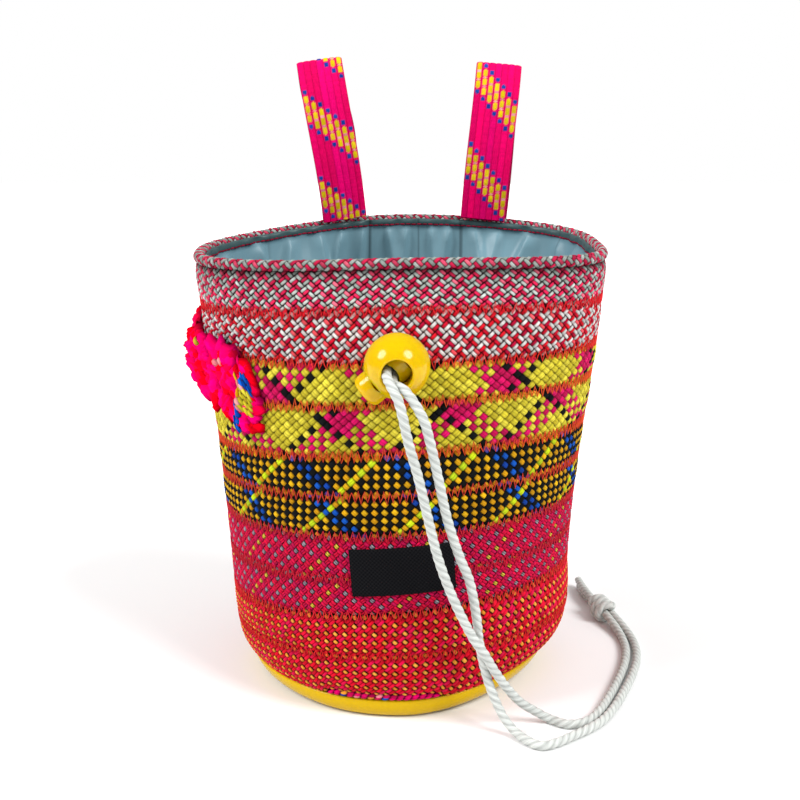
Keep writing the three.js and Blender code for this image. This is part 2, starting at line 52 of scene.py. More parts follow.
# Wall line: height, reach left, right, front and back, and how square each quarter is
SECTIONS = np.array([
    [0, 51.5, 50, 53.4, 52, 2, 1.8, 2, 2],
    [6, 55, 54, 56, 55.5, 2, 1.82, 2, 2],
    [14, 58.8, 58.9, 58.9, 59, 2, 1.92, 2, 2],
    [26, 60.4, 61.6, 61.2, 61.5, 2, 2, 2, 2],
    [45, 61.6, 61.4, 61.8, 62, 2, 2, 2, 2],
    [80, 64.4, 64, 58.5, 61, 2, 2.1, 2, 2.1],
    [120, 68, 68.4, 54, 58, 2.2, 2.5, 1.95, 2.4],
    [153, 71.2, 70.4, 50, 55.5, 2.6, 3.3, 1.85, 3],
    [162, 71.8, 71, 49, 55, 2.6, 3.3, 1.85, 3],
])
# Seams from the mouth down: height at the front, right, back and left
SEAMS = [
    (154.5, 155.4, 161, 153.6),
    (138.4, 138.9, 142, 135.7),
    (121.6, 123.7, 124.5, 120.9),
    (108.8, 112.3, 111, 105.4),
    (93.1, 94.9, 91.5, 87.6),
    (79.6, 82.4, 79.5, 75.8),
    (66.6, 68.8, 65.5, 62.4),
    (52.9, 56, 51.5, 47.5),
    (40.8, 43.6, 37.5, 32.8),
    (25.6, 25.8, 21.5, 19.5),
    (7.4, 5.4, 4.8, 5.4),
]
MOUTH = SEAMS[0]
BASE_SEAM = SEAMS[-1]
# Where the soft base curls up from the floor: angle, half width in degrees, and lift. It curls
# less with height, and not at all above its top.
BASE_CURLS = [(65, 62, 3.4), (-65, 50, 1.6)]
CURL_TOP = 30
# Height whose plan the base and the lining's floor take
BASE_PLAN = 6.5
# Points round a cloth, and the angles at which lengths round the bag are measured
AROUND = 192
FULL_TURN = np.linspace(0, 2 * np.pi, 721)

# Drawcord: length of a full twist, depth of the grooves between its plies, and the painted shade in them
CORD_RADIUS = 1.55
PLIES = 3
PLY_LAY = 9.2
PLY_DEPTH = 0.18
PLY_SHADE = 0.36
ROPE_STEP = 0.5
# Place and axes of the ball lock, and how far its hole dips to the front
BALL_CENTRE = np.array([-0.9, -65.2, 123.2])
BALL_RADIUS = 10.25
BUTTON_AXIS = np.array([-0.76, 0, -0.65]) / math.hypot(0.76, 0.65)
HOLE_AXIS = np.array([0, -1, 0])
LOCK_SIDE = np.cross(BUTTON_AXIS, HOLE_AXIS)
HOLE_DIP = math.radians(9)
# Points of each strand from the lock to its end. Those without a height lie on the floor, where
# the strand's middle has this height.
FLOOR = 1.6
STRANDS = {
    "drawcord_left": [
        (-2.4, -78, 119), (-0.5, -79.6, 115.4), (1, -80, 109.7), (2.3, -79.2, 103.4), (5.7, -77, 90.4),
        (8.7, -74.8, 77), (12, -72.8, 63.3), (16.9, -70.8, 49.3), (23.6, -69, 35),
        (26.6, -68.2, 30.5), (30.4, -66, 23.2), (35.6, -62.4, 14.5), (40.1, -59.6, 8.6),
        (45, -57.6, 4.5), (50.1, -57.4), (55.6, -61.2), (61.5, -59.5),
        (66.4, -53.8), (70.9, -45.1), (79.3, -24.8), (83.2, -13.1),
        (85.5, -2.5), (86, 8), (85, 15.8, 2.6), (83.2, 22.4, 3.8), (81.6, 30, 4.4),
        (79.8, 38, 4.6), (78.4, 46, 4.8), (77.4, 54, 4.6), (77, 66, 3.6),
    ],
    "drawcord_right": [
        (0.6, -76.8, 118.6), (3.6, -78.6, 115.5), (7, -79.4, 109.6), (8.8, -78.6, 103.3),
        (11.7, -76.4, 90.2), (14.6, -73.6, 76.6), (19, -70.4, 62.4), (21.8, -68.8, 55.2),
        (24.6, -66.2, 40.6), (25.4, -65.2, 33.3), (27.6, -64.2, 22.4), (29.8, -64, 15.2),
        (33.7, -65, 6.5), (37.2, -67, 2.4), (41.2, -72.3), (45.1, -75.5),
        (50.1, -73.6), (55.5, -69.6), (61.3, -65), (67.3, -58.8),
        (72.9, -49.5), (78.4, -37.5), (83.8, -24), (87.8, -11.4),
        (89.6, 0.2), (89.5, 10.4), (88, 17, 2.6), (85.8, 24, 3.8), (83.8, 31, 4.4),
        (81.8, 38, 3.8), (79.8, 46, 2.2), (78.2, 54), (77.4, 65),
    ],
}
# Where each strand lies in the lock's hole, right of its middle and above it
STRAND_SEAT = {"drawcord_left": (-3, -0.55), "drawcord_right": (-1, -2.9)}
# Knot: where it starts and ends, turns of its wraps, and how far the wraps and the strap stand out
KNOT_FROM = np.array([83.6, 23.4, 4.4])
KNOT_TO = np.array([79.8, 38.6, 4.7])
KNOT_TURNS = 2.4
KNOT_WRAP = 3.2
KNOT_STRAP = 3.6
KNOT_CORD_RADIUS = 1.6


# Curves and tables

def lerp(a, b, t):
    return a + (b - a) * t


def smoothstep(x, low, high):
    t = np.clip((x - low) / (high - low), 0, 1)
    return t * t * (3 - 2 * t)


def unit(vectors):
    return vectors / np.linalg.norm(vectors, axis=-1, keepdims=True)


def circle(number):
    return np.linspace(0, 2 * np.pi, number, endpoint=False)


def grid(along_rows, along_columns):
    return np.meshgrid(along_rows, along_columns, indexing="ij")


def along(rows, column, at):
    """Value of a table's column at the key in its first column, on a smooth curve through the rows."""
    keys = rows[:, 0]
    values = rows[:, column]
    before = np.maximum(np.arange(len(keys)) - 1, 0)
    after = np.minimum(np.arange(len(keys)) + 1, len(keys) - 1)
    slopes = (values[after] - values[before]) / (keys[after] - keys[before])
    at = np.clip(at, keys[0], keys[-1])
    i = np.clip(np.searchsorted(keys, at, side="right") - 1, 0, len(keys) - 2)
    step = keys[i + 1] - keys[i]
    t = (at - keys[i]) / step
    t2 = t * t
    t3 = t2 * t
    low = (2 * t3 - 3 * t2 + 1) * values[i] + (t3 - 2 * t2 + t) * step * slopes[i]
    return low + (3 * t2 - 2 * t3) * values[i + 1] + (t3 - t2) * step * slopes[i + 1]


def wall_line(angle, z):
    s = np.sin(angle)
    c = np.cos(angle)
    left = s < 0
    front = c > 0
    columns = [along(SECTIONS, k, z) for k in range(1, 9)]
    width, depth, front_square, back_square = (
        np.where(first, *columns[k:k + 2]) for first, k in ((left, 0), (front, 2), (left, 4), (left, 6)))
    square = np.where(front, front_square, back_square)
    reach = (np.abs(s / width) ** square + np.abs(c / depth) ** square) ** (-1 / square)
    return np.stack([reach * s, -reach * c], -1)


def wall_normal(angle, z):
    nudge = 0.02
    run = unit(wall_line(angle + nudge, z) - wall_line(angle - nudge, z))
    return np.stack([run[..., 1], -run[..., 0]], -1)


def half_turns(angle):
    """Degrees from -180 to 180."""
    return np.degrees(np.arctan2(np.sin(angle), np.cos(angle)))


def base_curl(angle, z):
    turn = half_turns(angle)
    lift = 0
    for middle, reach, height in BASE_CURLS:
        lift = lift + height * (1 - np.clip((turn - middle) / reach, -1, 1) ** 2) ** 2
    return lift * (1 - smoothstep(z, 0, CURL_TOP))


def off_wall(angle, z, out, plan=None):
    """Point at a distance out from the wall line, whose plan may be taken at another height."""
    angle, z, out = np.broadcast_arrays(angle, z, out)
    level = z if plan is None else np.full_like(z, plan, dtype=float)
    flat = wall_line(angle, level) + wall_normal(angle, level) * out[..., None]
    return np.concatenate([flat, (z + base_curl(angle, z))[..., None]], -1)


def seam_height(seam, angle):
    front, right, back, left = seam
    middle = sum(seam) / 4
    saddle = (front + back - right - left) / 4
    tilt = (front - back) / 2 * np.cos(angle) + (right - left) / 2 * np.sin(angle)
    return middle + tilt + saddle * np.cos(2 * angle)


def smooth_line(points, plain=False, per_span=24):
    """Closely spaced points of a curve through points: centripetal, or where plain with each slope
    set by the two neighbours alone."""
    p = np.array(points, float)
    before, after = (p[0], p[-1]) if plain else (2 * p[0] - p[1], 2 * p[-1] - p[-2])
    p = np.vstack([before, p, after])
    t = np.linspace(0, 1, per_span, endpoint=False)[:, None]
    spans = []
    for x0, x1, x2, x3 in zip(p, p[1:], p[2:], p[3:]):
        if plain:
            m1 = (x2 - x0) / 2
            m2 = (x3 - x1) / 2
        else:
            d0, d1, d2 = (np.linalg.norm(b - a) ** 0.5 for a, b in ((x0, x1), (x1, x2), (x2, x3)))
            m1 = d1 * ((x1 - x0) / d0 - (x2 - x0) / (d0 + d1) + (x2 - x1) / d1)
            m2 = d1 * ((x2 - x1) / d1 - (x3 - x1) / (d1 + d2) + (x3 - x2) / d2)
        spans.append(x1 + m1 * t + (3 * (x2 - x1) - 2 * m1 - m2) * t**2
                     + (2 * (x1 - x2) + m1 + m2) * t**3)
    return np.vstack([*spans, p[-2:-1]])


def lengths_along(line):
    steps = np.linalg.norm(np.diff(line, axis=0), axis=1)
    return np.concatenate([[0], np.cumsum(steps)])


def evenly(line, step):
    """The line again, with points a step apart."""
    at = lengths_along(line)
    stops = np.linspace(0, at[-1], max(2, round(at[-1] / step) + 1))
    return np.stack([np.interp(stops, at, line[:, k]) for k in range(line.shape[1])], -1)


# Meshes: a part is its points, its faces as rows of four corners, a colour and a place on the
# yarn for each point

def part(points, faces, colours, yarn=None):
    points = np.asarray(points, float).reshape(-1, 3)
    colours = np.broadcast_to(np.asarray(colours, float).reshape(-1, 3), points.shape)
    yarn = np.zeros((len(points), 2)) if yarn is None else yarn.reshape(-1, 2)
    return points, np.asarray(faces).reshape(-1, 4), colours, yarn


def joined(parts):
    starts = np.cumsum([0] + [len(p[0]) for p in parts])
    faces = [p[1] + start for p, start in zip(parts, starts)]
    rest = [np.vstack([p[k] for p in parts]) for k in (0, 2, 3)]
    return rest[0], np.vstack(faces), rest[1], rest[2]


def grid_faces(rows, columns, ringed=False):
    """Quads of a grid of points, closed round its columns where ringed."""
    spans = columns if ringed else columns - 1
    r, c = grid(np.arange(rows - 1), np.arange(spans))
    n = (c + 1) % columns
    corners = [r * columns + c, r * columns + n, (r + 1) * columns + n, (r + 1) * columns + c]
    return np.stack(corners, -1).reshape(-1, 4)


def shell(front, back, colours, yarn=None, flip=False):
    """Closed sheet from the grids of its two faces."""
    ring = np.concatenate([front, back[:, ::-1]], 1)
    rows, wide = ring.shape[:2]
    j = np.arange(front.shape[1] - 1)
    cap = np.stack([j, wide - 1 - j, wide - 2 - j, j + 1], -1)
    faces = np.vstack([grid_faces(rows, wide, ringed=True), cap[:, ::-1], cap + (rows - 1) * wide])
    if yarn is not None:
        yarn = np.concatenate([yarn, yarn[:, ::-1]], 1)
    return part(ring, faces[:, ::-1] if flip else faces, colours, yarn)


def rings(rows, colours, yarn=None, flip=False):
    """Skin over rings of points, and the two faces that close its ends where they are used."""
    points = np.array(rows)
    number, columns = points.shape[:2]
    faces = grid_faces(number, columns, ringed=True)
    last = (number - 1) * columns
    caps = [list(range(columns))[::-1], list(range(last, last + columns))]
    if flip:
        faces = faces[:, ::-1]
        caps = [cap[::-1] for cap in caps]
    return part(points, faces, colours, yarn), caps


def tube(line, reach, first, second, sides):
    """Rings of points round a line, turning from the first direction to the second."""
    turn = circle(sides)[:, None]
    return line[:, None] + reach * (np.cos(turn) * first[:, None] + np.sin(turn) * second[:, None])


def put(data):
    made = bpy.data.objects.new(data.name, data)
    scene.collection.objects.link(made)
    return made


def piece(name, shape, material, slot, nodes=(), body="bag", caps=()):
    points, faces, colours, yarn = shape
    data = bpy.data.meshes.new(name + "_surface")
    data.from_pydata((points * MM).tolist(), [], faces.tolist() + list(caps))
    tone = data.color_attributes.new("tone", "FLOAT_COLOR", "POINT")
    tone.data.foreach_set("color", np.hstack([colours, np.ones((len(points), 1))]).ravel())
    corners = np.empty(len(data.loops), int)
    data.loops.foreach_get("vertex_index", corners)
    data.uv_layers.new(name="yarn").data.foreach_set("uv", yarn[corners].ravel())
    data.shade_smooth()
    data.materials.append(material)
    made = put(data)
    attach(made, body)
    if nodes:
        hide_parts(*nodes)
    return made


# Colours

def tint(code):
    """Linear colour from a hexadecimal one."""
    shares = np.array([int(code[k:k + 2], 16) for k in (0, 2, 4)]) / 255
    return np.where(shares <= 0.04045, shares / 12.92, ((shares + 0.055) / 1.055) ** 2.4)


def tints(*codes):
    return np.array([tint(code) for code in codes])


SHADES = {
    "ash": tints("aab2ac", "9ca6a0", "bac0bc"),
    "raspberry": tints("d01c4a", "dc2452", "b81842"),
    "rose": tints("e85070", "d84464", "f06880"),
    "white": tints("ccc6c4", "c0bebc", "d4cecc"),
    "red": tints("c00a28", "cc0e22", "ac0030"),
    "coral": tints("e4545c", "e84a54", "d84850"),
    "yellow": tints("c2b42c", "d0c23a", "b6a626"),
    "magenta": tints("c00450", "cc0a5c", "ac0446"),
    "black": tints("06090b", "080c0e", "040608"),
    "orange": tints("c8940a", "d2a210", "bc8606"),
    "neon": tints("acc418", "bcd012"),
    "blue": tints("0848a4", "0c52b4", "083a92"),
    "crimson": tints("c6023c", "ce0438", "b40244"),
    "grey": tints("8a838e", "968f98", "7e7782"),
    "straw": tints("c8ae34", "d0b640"),
    "scarlet": tints("d20222", "de0630", "d60442", "c6021e"),
    "apricot": tints("d88c2c", "e09a3a", "cc8022"),
    "fuchsia": tints("d4005a", "d80064", "d00054"),
    "navy": tints("0c3484", "14408e"),
    "pale": tints("d07880", "d89090"),
    "lemon": tints("c0a808", "cab014"),
    "hot": tints("ff0064", "fc0040", "f8001c", "ff0074"),
}


def shades(names):
    """A seeded shade of each named colour, with a little spread in brightness."""
    chosen = np.array([SHADES[n][chance.integers(len(SHADES[n]))] for n in names])
    return chosen * np.clip(chance.normal(1, 0.1, (len(names), 1)), 0.7, 1.3)


# Yarn that shows on a cloth, as short domed pills

PILL_ALONG = np.array([-1, -0.66, 0, 0.66, 1])
PILL_ACROSS = np.array([-1, -0.62, 0, 0.62, 1])
PAIR_ACROSS = np.array([-1, -0.5, 0.5, 1])
# How much narrower a pill is at its ends, its brightness, and the painted shade at its ends and sides
PILL_TAPER = 0.3
PILL_BRIGHT = 1.04
END_SHADE = 0.65
SIDE_SHADE = 0.4
# How much of its room a yarn takes up across, and the part of a row that it may stand past the cloth
YARN_FILL = 1.06
ROW_MARGIN = 0.15
# Colours whose yarns lie across the line they show along, their size and the painted shade at their edges
TURNED = ("grey", "straw")
TURNED_SIZE = 0.83
TURNED_EDGE = 1.45


def domed(across):
    return np.sqrt(1 - 0.95 * across * across)


def pills(centres, headings, lengths, widths, height, colours, sink=0.35, across=PILL_ACROSS, edge=1.0):
    """Pills on a flat cloth: rows of place along, place up and lift, with faces, colours and yarn."""
    number = len(centres)
    s, t = (g.ravel() for g in grid(PILL_ALONG, across))
    end = s**4
    lift = height * (1 - end) * domed(t) - sink * end
    narrow = t * (1 - PILL_TAPER * end)
    run = np.stack([np.cos(headings), np.sin(headings)], -1)[:, None]
    side = np.stack([-np.sin(headings), np.cos(headings)], -1)[:, None]
    half, wide = (np.broadcast_to(np.asarray(size, float) / 2, number)[:, None, None]
                  for size in (lengths, widths))
    flat = np.asarray(centres)[:, None] + run * half * s[:, None] + side * wide * narrow[:, None]
    lifts = np.broadcast_to(lift[None, :, None], (number, len(s), 1))
    one = grid_faces(len(PILL_ALONG), len(across))[:, ::-1]
    faces = one[None] + len(s) * np.arange(number)[:, None, None]
    yarn = np.stack([s / 2 + 0.5, t / 2 + 0.5], -1)
    offsets = np.stack([np.arange(number) * 1.7, np.zeros(number)], -1)
    edges = np.broadcast_to(np.asarray(edge, float), number)[:, None]
    # Painted shade: each pill grows darker towards its ends and sides, where it dips between its neighbours
    shade = PILL_BRIGHT - edges * (END_SHADE * end + SIDE_SHADE * t**4 * (1 - end))
    return part(np.concatenate([flat, lifts], -1), faces, colours[:, None] * shade[:, :, None],
                yarn[None] + offsets[:, None])


def braid(width, height, columns, row, rising, falling, shift, full, dome, long, edge):
    """Pills of a braid that closes round a width. The rising and falling strands are charted by
    colour, and each passes over one of the others and under the next. A strand charted with two
    colours shows two yarns side by side. Full is how much of its room each strand fills."""
    pitch = width / columns
    angle = math.atan2(row, pitch)
    crossing = math.hypot(pitch, row) / 2
    room = pitch * row / 2 / crossing
    margin = ROW_MARGIN * row
    k_range = np.arange(-2, int(height / row) + 3)
    m, k = (g.ravel() for g in grid(np.arange(columns), k_range))
    sets = [(1, m, k, m - k, rising, shift[0], full[0]),
            (-1, m + 0.5, k + 0.5, m + k + 1, falling, shift[1], full[1])]
    made = []
    for turn, u, v, index, chart, along_chart, share in sets:
        at = np.stack([((u + shift[3]) % columns) * pitch, (v + shift[2]) * row], -1)
        inside = (at[:, 1] > -margin) & (at[:, 1] < height + margin)
        at = at[inside]
        strands = [chart[int(i) % len(chart)] for i in index[inside] + along_chart]
        pairs = [c if isinstance(c, tuple) else (c,) for c in strands]
        number = len(pairs[0])
        crossed = np.array([pair[0] in TURNED for pair in pairs])
        size = np.where(crossed, TURNED_SIZE, 1)
        headings = np.where(crossed, -turn * angle, turn * angle)
        aside = np.stack([-np.sin(headings), np.cos(headings)], -1)
        for n in range(number):
            off = aside * room * share * ((n + 0.5) / number - 0.5)
            names = [pair[n] for pair in pairs]
            made.append(pills(at + off * size[:, None], headings, size * long * crossing * share**0.5,
                              size * YARN_FILL * room * share / number, dome, shades(names),
                              across=PILL_ACROSS if number == 1 else PAIR_ACROSS,
                              edge=np.where(crossed, TURNED_EDGE, edge)))
    return joined(made)


def laid_on(surface, shape):
    points, faces, colours, yarn = shape
    return surface(*points.T), faces, colours, yarn


# Finishes

def node(tree, kind, inputs=(), **settings):
    """A node with its settings, and its inputs given as values or as sockets to link from."""
    made = tree.nodes.new(kind)
    for key, value in settings.items():
        setattr(made, key, value)
    for key, value in dict(inputs).items():
        if isinstance(value, bpy.types.NodeSocket):
            tree.links.new(value, made.inputs[key])
        else:
            made.inputs[key].default_value = value
    return made


def result(tree, operation, *values):
    return node(tree, "ShaderNodeMath", dict(enumerate(values)), operation=operation).outputs[0]


def ranged(tree, value, low, high, to_low, to_high):
    inputs = dict(enumerate((value, low, high, to_low, to_high)))
    return node(tree, "ShaderNodeMapRange", inputs).outputs[0]


def scaled(tree, vector, scale):
    return node(tree, "ShaderNodeVectorMath", {0: vector, "Scale": scale}, operation="SCALE").outputs[0]


def blend(tree, mask, first, second):
    colours = {0: mask, 6: (*first, 1), 7: (*second, 1)}
    return node(tree, "ShaderNodeMix", colours, data_type="RGBA").outputs[2]


def effect(name, inputs, outputs):
    """Node group with inputs by name and value, and outputs by name. Only Colour is a colour."""
    tree = bpy.data.node_groups.new(name, "ShaderNodeTree")

    def socket(label, way):
        kind = "NodeSocketColor" if label == "Colour" else "NodeSocketFloat"
        return tree.interface.new_socket(label, in_out=way, socket_type=kind)

    for label, value in inputs.items():
        socket(label, "INPUT").default_value = value
    for label in outputs:
        socket(label, "OUTPUT")
    return tree, node(tree, "NodeGroupInput"), node(tree, "NodeGroupOutput")


def given_out(tree, made, *sockets):
    for k, socket in enumerate(sockets):
        tree.links.new(socket, made.inputs[k])
    return tree


def spun_yarn():
    """Fibres along a yarn, painted shade at its sides where it turns down and in the line between its
    plies.
    """
    inputs = {"Colour": (1, 1, 1, 1), "Fineness": 9.0, "Line": 1.0}
    tree, given, made = effect("spun_yarn", inputs, ["Colour", "Height"])
    place = node(tree, "ShaderNodeUVMap", uv_map="yarn")
    split = node(tree, "ShaderNodeSeparateXYZ", {0: place.outputs[0]})
    across = split.outputs[1]
    finer = result(tree, "MULTIPLY", across, given.outputs[1])
    fibre = node(tree, "ShaderNodeCombineXYZ", {0: split.outputs[0], 1: finer})
    grain = node(tree, "ShaderNodeTexNoise", {"Vector": fibre.outputs[0], "Scale": 1.6, "Detail": 2.0})
    crest = result(tree, "MULTIPLY", across, result(tree, "SUBTRACT", 1.0, across))
    # Painted shade at the yarn's sides
    lit = ranged(tree, crest, 0.0, 0.2, 0.55, 1.0)
    spread = ranged(tree, grain.outputs[0], 0.3, 0.7, 0.82, 1.14)
    aside = result(tree, "ABSOLUTE", result(tree, "SUBTRACT", across, 0.5))
    # Painted shade along the line between the plies; Line sets how dark it is
    plies = ranged(tree, aside, 0.0, 0.12, given.outputs[2], 1.0)
    tone = result(tree, "MULTIPLY", result(tree, "MULTIPLY", lit, spread), plies)
    return given_out(tree, made, scaled(tree, given.outputs[0], tone), grain.outputs[0])


def close_weave():
    """Plain weave too fine to model, from the place on the cloth in threads."""
    tree, given, made = effect("close_weave", {"Threads": 300.0}, ["Height", "Mask"])
    place = node(tree, "ShaderNodeUVMap", uv_map="yarn")
    threads = scaled(tree, place.outputs[0], given.outputs[0])
    split = node(tree, "ShaderNodeSeparateXYZ", {0: threads})
    waves = [result(tree, "SINE", split.outputs[k]) for k in (0, 1)]
    both = result(tree, "MULTIPLY", *waves)
    return given_out(tree, made, both, ranged(tree, both, -1.0, 1.0, 0.0, 1.0))


def moulded_skin():
    """Faint unevenness of moulded or coated plastic."""
    tree, given, made = effect("moulded_skin", {"Scale": 400.0}, ["Height", "Wear"])
    place = node(tree, "ShaderNodeTexCoord")
    fine = node(tree, "ShaderNodeTexNoise",
                {"Vector": place.outputs["Object"], "Scale": given.outputs[0], "Detail": 3.0})
    wear = ranged(tree, fine.outputs[0], 0.35, 0.65, 0.0, 1.0)
    return given_out(tree, made, fine.outputs[0], wear)


SPUN_YARN = spun_yarn()
CLOSE_WEAVE = close_weave()
MOULDED_SKIN = moulded_skin()
# Brightness of plastic where it is worn, and how far red, green and blue light pass into it
WORN_SHADE = 0.94
GLOW_RADIUS = (1, 0.6, 0.1)
GLOW_DEPTH = 5


def surface_of(name, roughness, specular):
    """A material with one Principled BSDF, and its tree and shader."""
    made = bpy.data.materials.new(name)
    made.use_nodes = True
    shader = made.node_tree.nodes["Principled BSDF"]
    shader.inputs["Roughness"].default_value = roughness
    shader.inputs["Specular IOR Level"].default_value = specular
    return made, made.node_tree, shader


def use(tree, group, **inputs):
    return node(tree, "ShaderNodeGroup", {k.title(): v for k, v in inputs.items()}, node_tree=group)


def dressed(made, shader, colour, height, depth):
    """The material, with a colour and a height that raises its surface."""
    tree = made.node_tree
    bump = node(tree, "ShaderNodeBump", {"Height": height, "Distance": depth * MM, "Strength": 1.0})
    tree.links.new(colour, shader.inputs["Base Color"])
    tree.links.new(bump.outputs[0], shader.inputs["Normal"])
    return made


def yarn_finish(name, roughness=0.75, specular=0.12, fineness=9.0, depth=0.12, line=1.0):
    made, tree, shader = surface_of(name, roughness, specular)
    tone = node(tree, "ShaderNodeAttribute", attribute_name="tone")
    yarn = use(tree, SPUN_YARN, colour=tone.outputs[0], fineness=fineness, line=line)
    return dressed(made, shader, yarn.outputs[0], yarn.outputs[1], depth)


def nylon_finish():
    made, tree, shader = surface_of("lining_nylon", roughness=0.4, specular=0.3)
    tone = node(tree, "ShaderNodeAttribute", attribute_name="tone")
    weave = use(tree, CLOSE_WEAVE, threads=14.0)
    shade = ranged(tree, weave.outputs[1], 0.0, 1.0, 0.95, 1.04)
    return dressed(made, shader, scaled(tree, tone.outputs[0], shade), weave.outputs[0], 0.006)


def label_finish():
    made, tree, shader = surface_of("label_cloth", roughness=0.75, specular=0.04)
    weave = use(tree, CLOSE_WEAVE, threads=5.0)
    cloth = blend(tree, weave.outputs[1], (0.002, 0.002, 0.003), (0.008, 0.008, 0.009))
    return dressed(made, shader, cloth, weave.outputs[0], 0.08)


def plastic_finish(name, colour, roughness, specular, scale, depth, glow=0.0):
    made, tree, shader = surface_of(name, roughness, specular)
    skin = use(tree, MOULDED_SKIN, scale=scale)
    worn = blend(tree, skin.outputs[1], colour, WORN_SHADE * colour)
    shader.inputs["Subsurface Weight"].default_value = glow
    shader.inputs["Subsurface Radius"].default_value = GLOW_RADIUS
    shader.inputs["Subsurface Scale"].default_value = GLOW_DEPTH * MM
    return dressed(made, shader, worn, skin.outputs[0], depth)


# Cords

def rope(line, radius, colour, sides=24):
    """Twisted cord along a line, tapered shut at both ends, and its line in even steps."""
    line = evenly(line, ROPE_STEP)
    at = lengths_along(line)
    run = unit(np.gradient(line, axis=0))
    up = np.array([0.3, 0.2, 1.0])
    ups = []
    for way in run:
        up = unit(up - way * (up @ way))
        ups.append(up)
    ups = np.array(ups)
    ply = circle(sides)[None] + (2 * np.pi * at / PLY_LAY)[:, None]
    ridge = np.abs(np.cos(PLIES / 2 * ply)) ** 0.7
    end = np.clip(np.minimum(at, at[-1] - at) / radius, 0, 1)
    taper = np.maximum(np.sqrt(end * (2 - end)), 0.02)
    reach = radius * (1 - PLY_DEPTH + PLY_DEPTH * ridge) * taper[:, None]
    # Painted shade darkens the grooves between the plies
    tones = tint(colour) * (1 - PLY_SHADE + PLY_SHADE * ridge)[..., None]
    across = 0.2 + 0.6 * ((PLIES * ply / (2 * np.pi) + 0.5) % 1)
    yarn = np.stack([np.broadcast_to(at[:, None] / 6, ply.shape), across], -1)
    points = tube(line, reach[..., None], ups, np.cross(run, ups), sides)
    return rings(points, tones, yarn, flip=True)[0], line


def in_lock(name, y):
    across, up = STRAND_SEAT[name]
    return (BALL_CENTRE[0] + across, y, BALL_CENTRE[2] + up + math.tan(HOLE_DIP) * (y - BALL_CENTRE[1]))


def drawcords():
    finish = yarn_finish("cord_white", specular=0.1, fineness=5, depth=0.1)
    behind = float(wall_line(0.0, BALL_CENTRE[2])[1]) - 0.8
    middle = BALL_CENTRE[1]
    mouth = middle - BALL_RADIUS + CORD_RADIUS
    axis = unit(KNOT_TO - KNOT_FROM)
    aside = unit(np.cross(axis, (0, 0, 1.0)))
    over = np.cross(aside, axis)
    t = np.linspace(0, 1, 160)[:, None]

    def round_knot(share, reach, spin):
        return lerp(KNOT_FROM, KNOT_TO, share) + reach * (aside * np.cos(spin) + over * np.sin(spin))

    wraps = round_knot(0.16 + 0.62 * t, KNOT_WRAP, 2 * np.pi * (KNOT_TURNS * t + 0.1))
    strap = round_knot(0.1 + 0.8 * t, KNOT_STRAP, 1.2 - 2.2 * t)
    parts = [rope(line, KNOT_CORD_RADIUS, "c4c8c4", sides=16)[0] for line in (wraps, strap)]
    knot = piece("drawcord_knot", joined(parts), finish, "cord_white", ["drawcord_knot"])
    for name, points in STRANDS.items():
        through = [in_lock(name, y) for y in (behind, middle, mouth)]
        route = through + [(*point, FLOOR)[:3] for point in points]
        shape, line = rope(smooth_line(route), CORD_RADIUS, "c2c6c2")
        tail = name.replace("drawcord", "drawcord_tail")
        made = piece(name, shape, finish, "cord_white", [name, name + "_lock", tail])
        length = lengths_along(line)[-1] * MM


# Bands of sheath

BAND_EDGE_PULL = 0.8
BAND_CROWN = 1.0
BAND_GAP = 0.15
BAND_THICK = 2.0
# Shares of a band's height where its backing has rows, and how far the backing lies under the yarns
BACKING_ROWS = (0, 0.05, 0.2, 0.5, 0.8, 0.95, 1)
BACKING_DEPTH = 0.22
# Rolled rim, which the first band reaches up under: how much of it yarns cover, their brightness and the
# painted shade at their edges
ROLL_RADIUS = 1.8
ROLL_INSET = 1.2
ROLL_CORE = ROLL_RADIUS - 0.35
ROLL_COVER = 0.86
ROLL_BRIGHT = 0.74
ROLL_EDGE = 1.45
# First band: painted shade at the yarns' edges, brightness at its bottom and top, and the share of height
# from which painted shade under the roll darkens it, and by how much
FIRST_EDGE = 1.4
FIRST_BRIGHT = (1.35, 0.72)
ROLL_SHADOW = (0.84, 0.75)
# Distance from a seam within which its thread colours the yarns, full and none
STAIN_REACH = (0.6, 1.8)
# Strip of sheath above the base: reach in degrees, the part of it where it rises at each end, and height
HEM = {"from": -29, "to": 17, "fade": 7, "height": 2.2}

HOUND_ASH = ([("raspberry", "ash"), ("ash", "raspberry")], [("raspberry", "ash"), ("ash", "rose")])
HOUND_RED = ([("red", "white"), ("white", "red")], [("red", "white"), ("white", "coral")])
# Blocks of the third band; the fourth band's sheath is turned end for end
BLOCKS = (["black"] + ["yellow"] * 6 + ["magenta"] * 3, ["black"] + ["yellow"] * 7 + ["magenta"] * 3)
BLOCKS_BACK = (["black"] + ["magenta"] * 3 + ["yellow"] * 6, ["black"] + ["magenta"] * 3 + ["yellow"] * 7)
DOTS = (["black"] * 9 + ["neon"], ["orange"] * 8 + ["blue"] * 2)
SPECKS = ([("grey", "grey"), ("crimson", "crimson")] * 4 + [("straw", "straw"), ("crimson", "crimson")],
          [("crimson", "crimson")])
SEEDS = ([("scarlet", "scarlet")], ["apricot"])
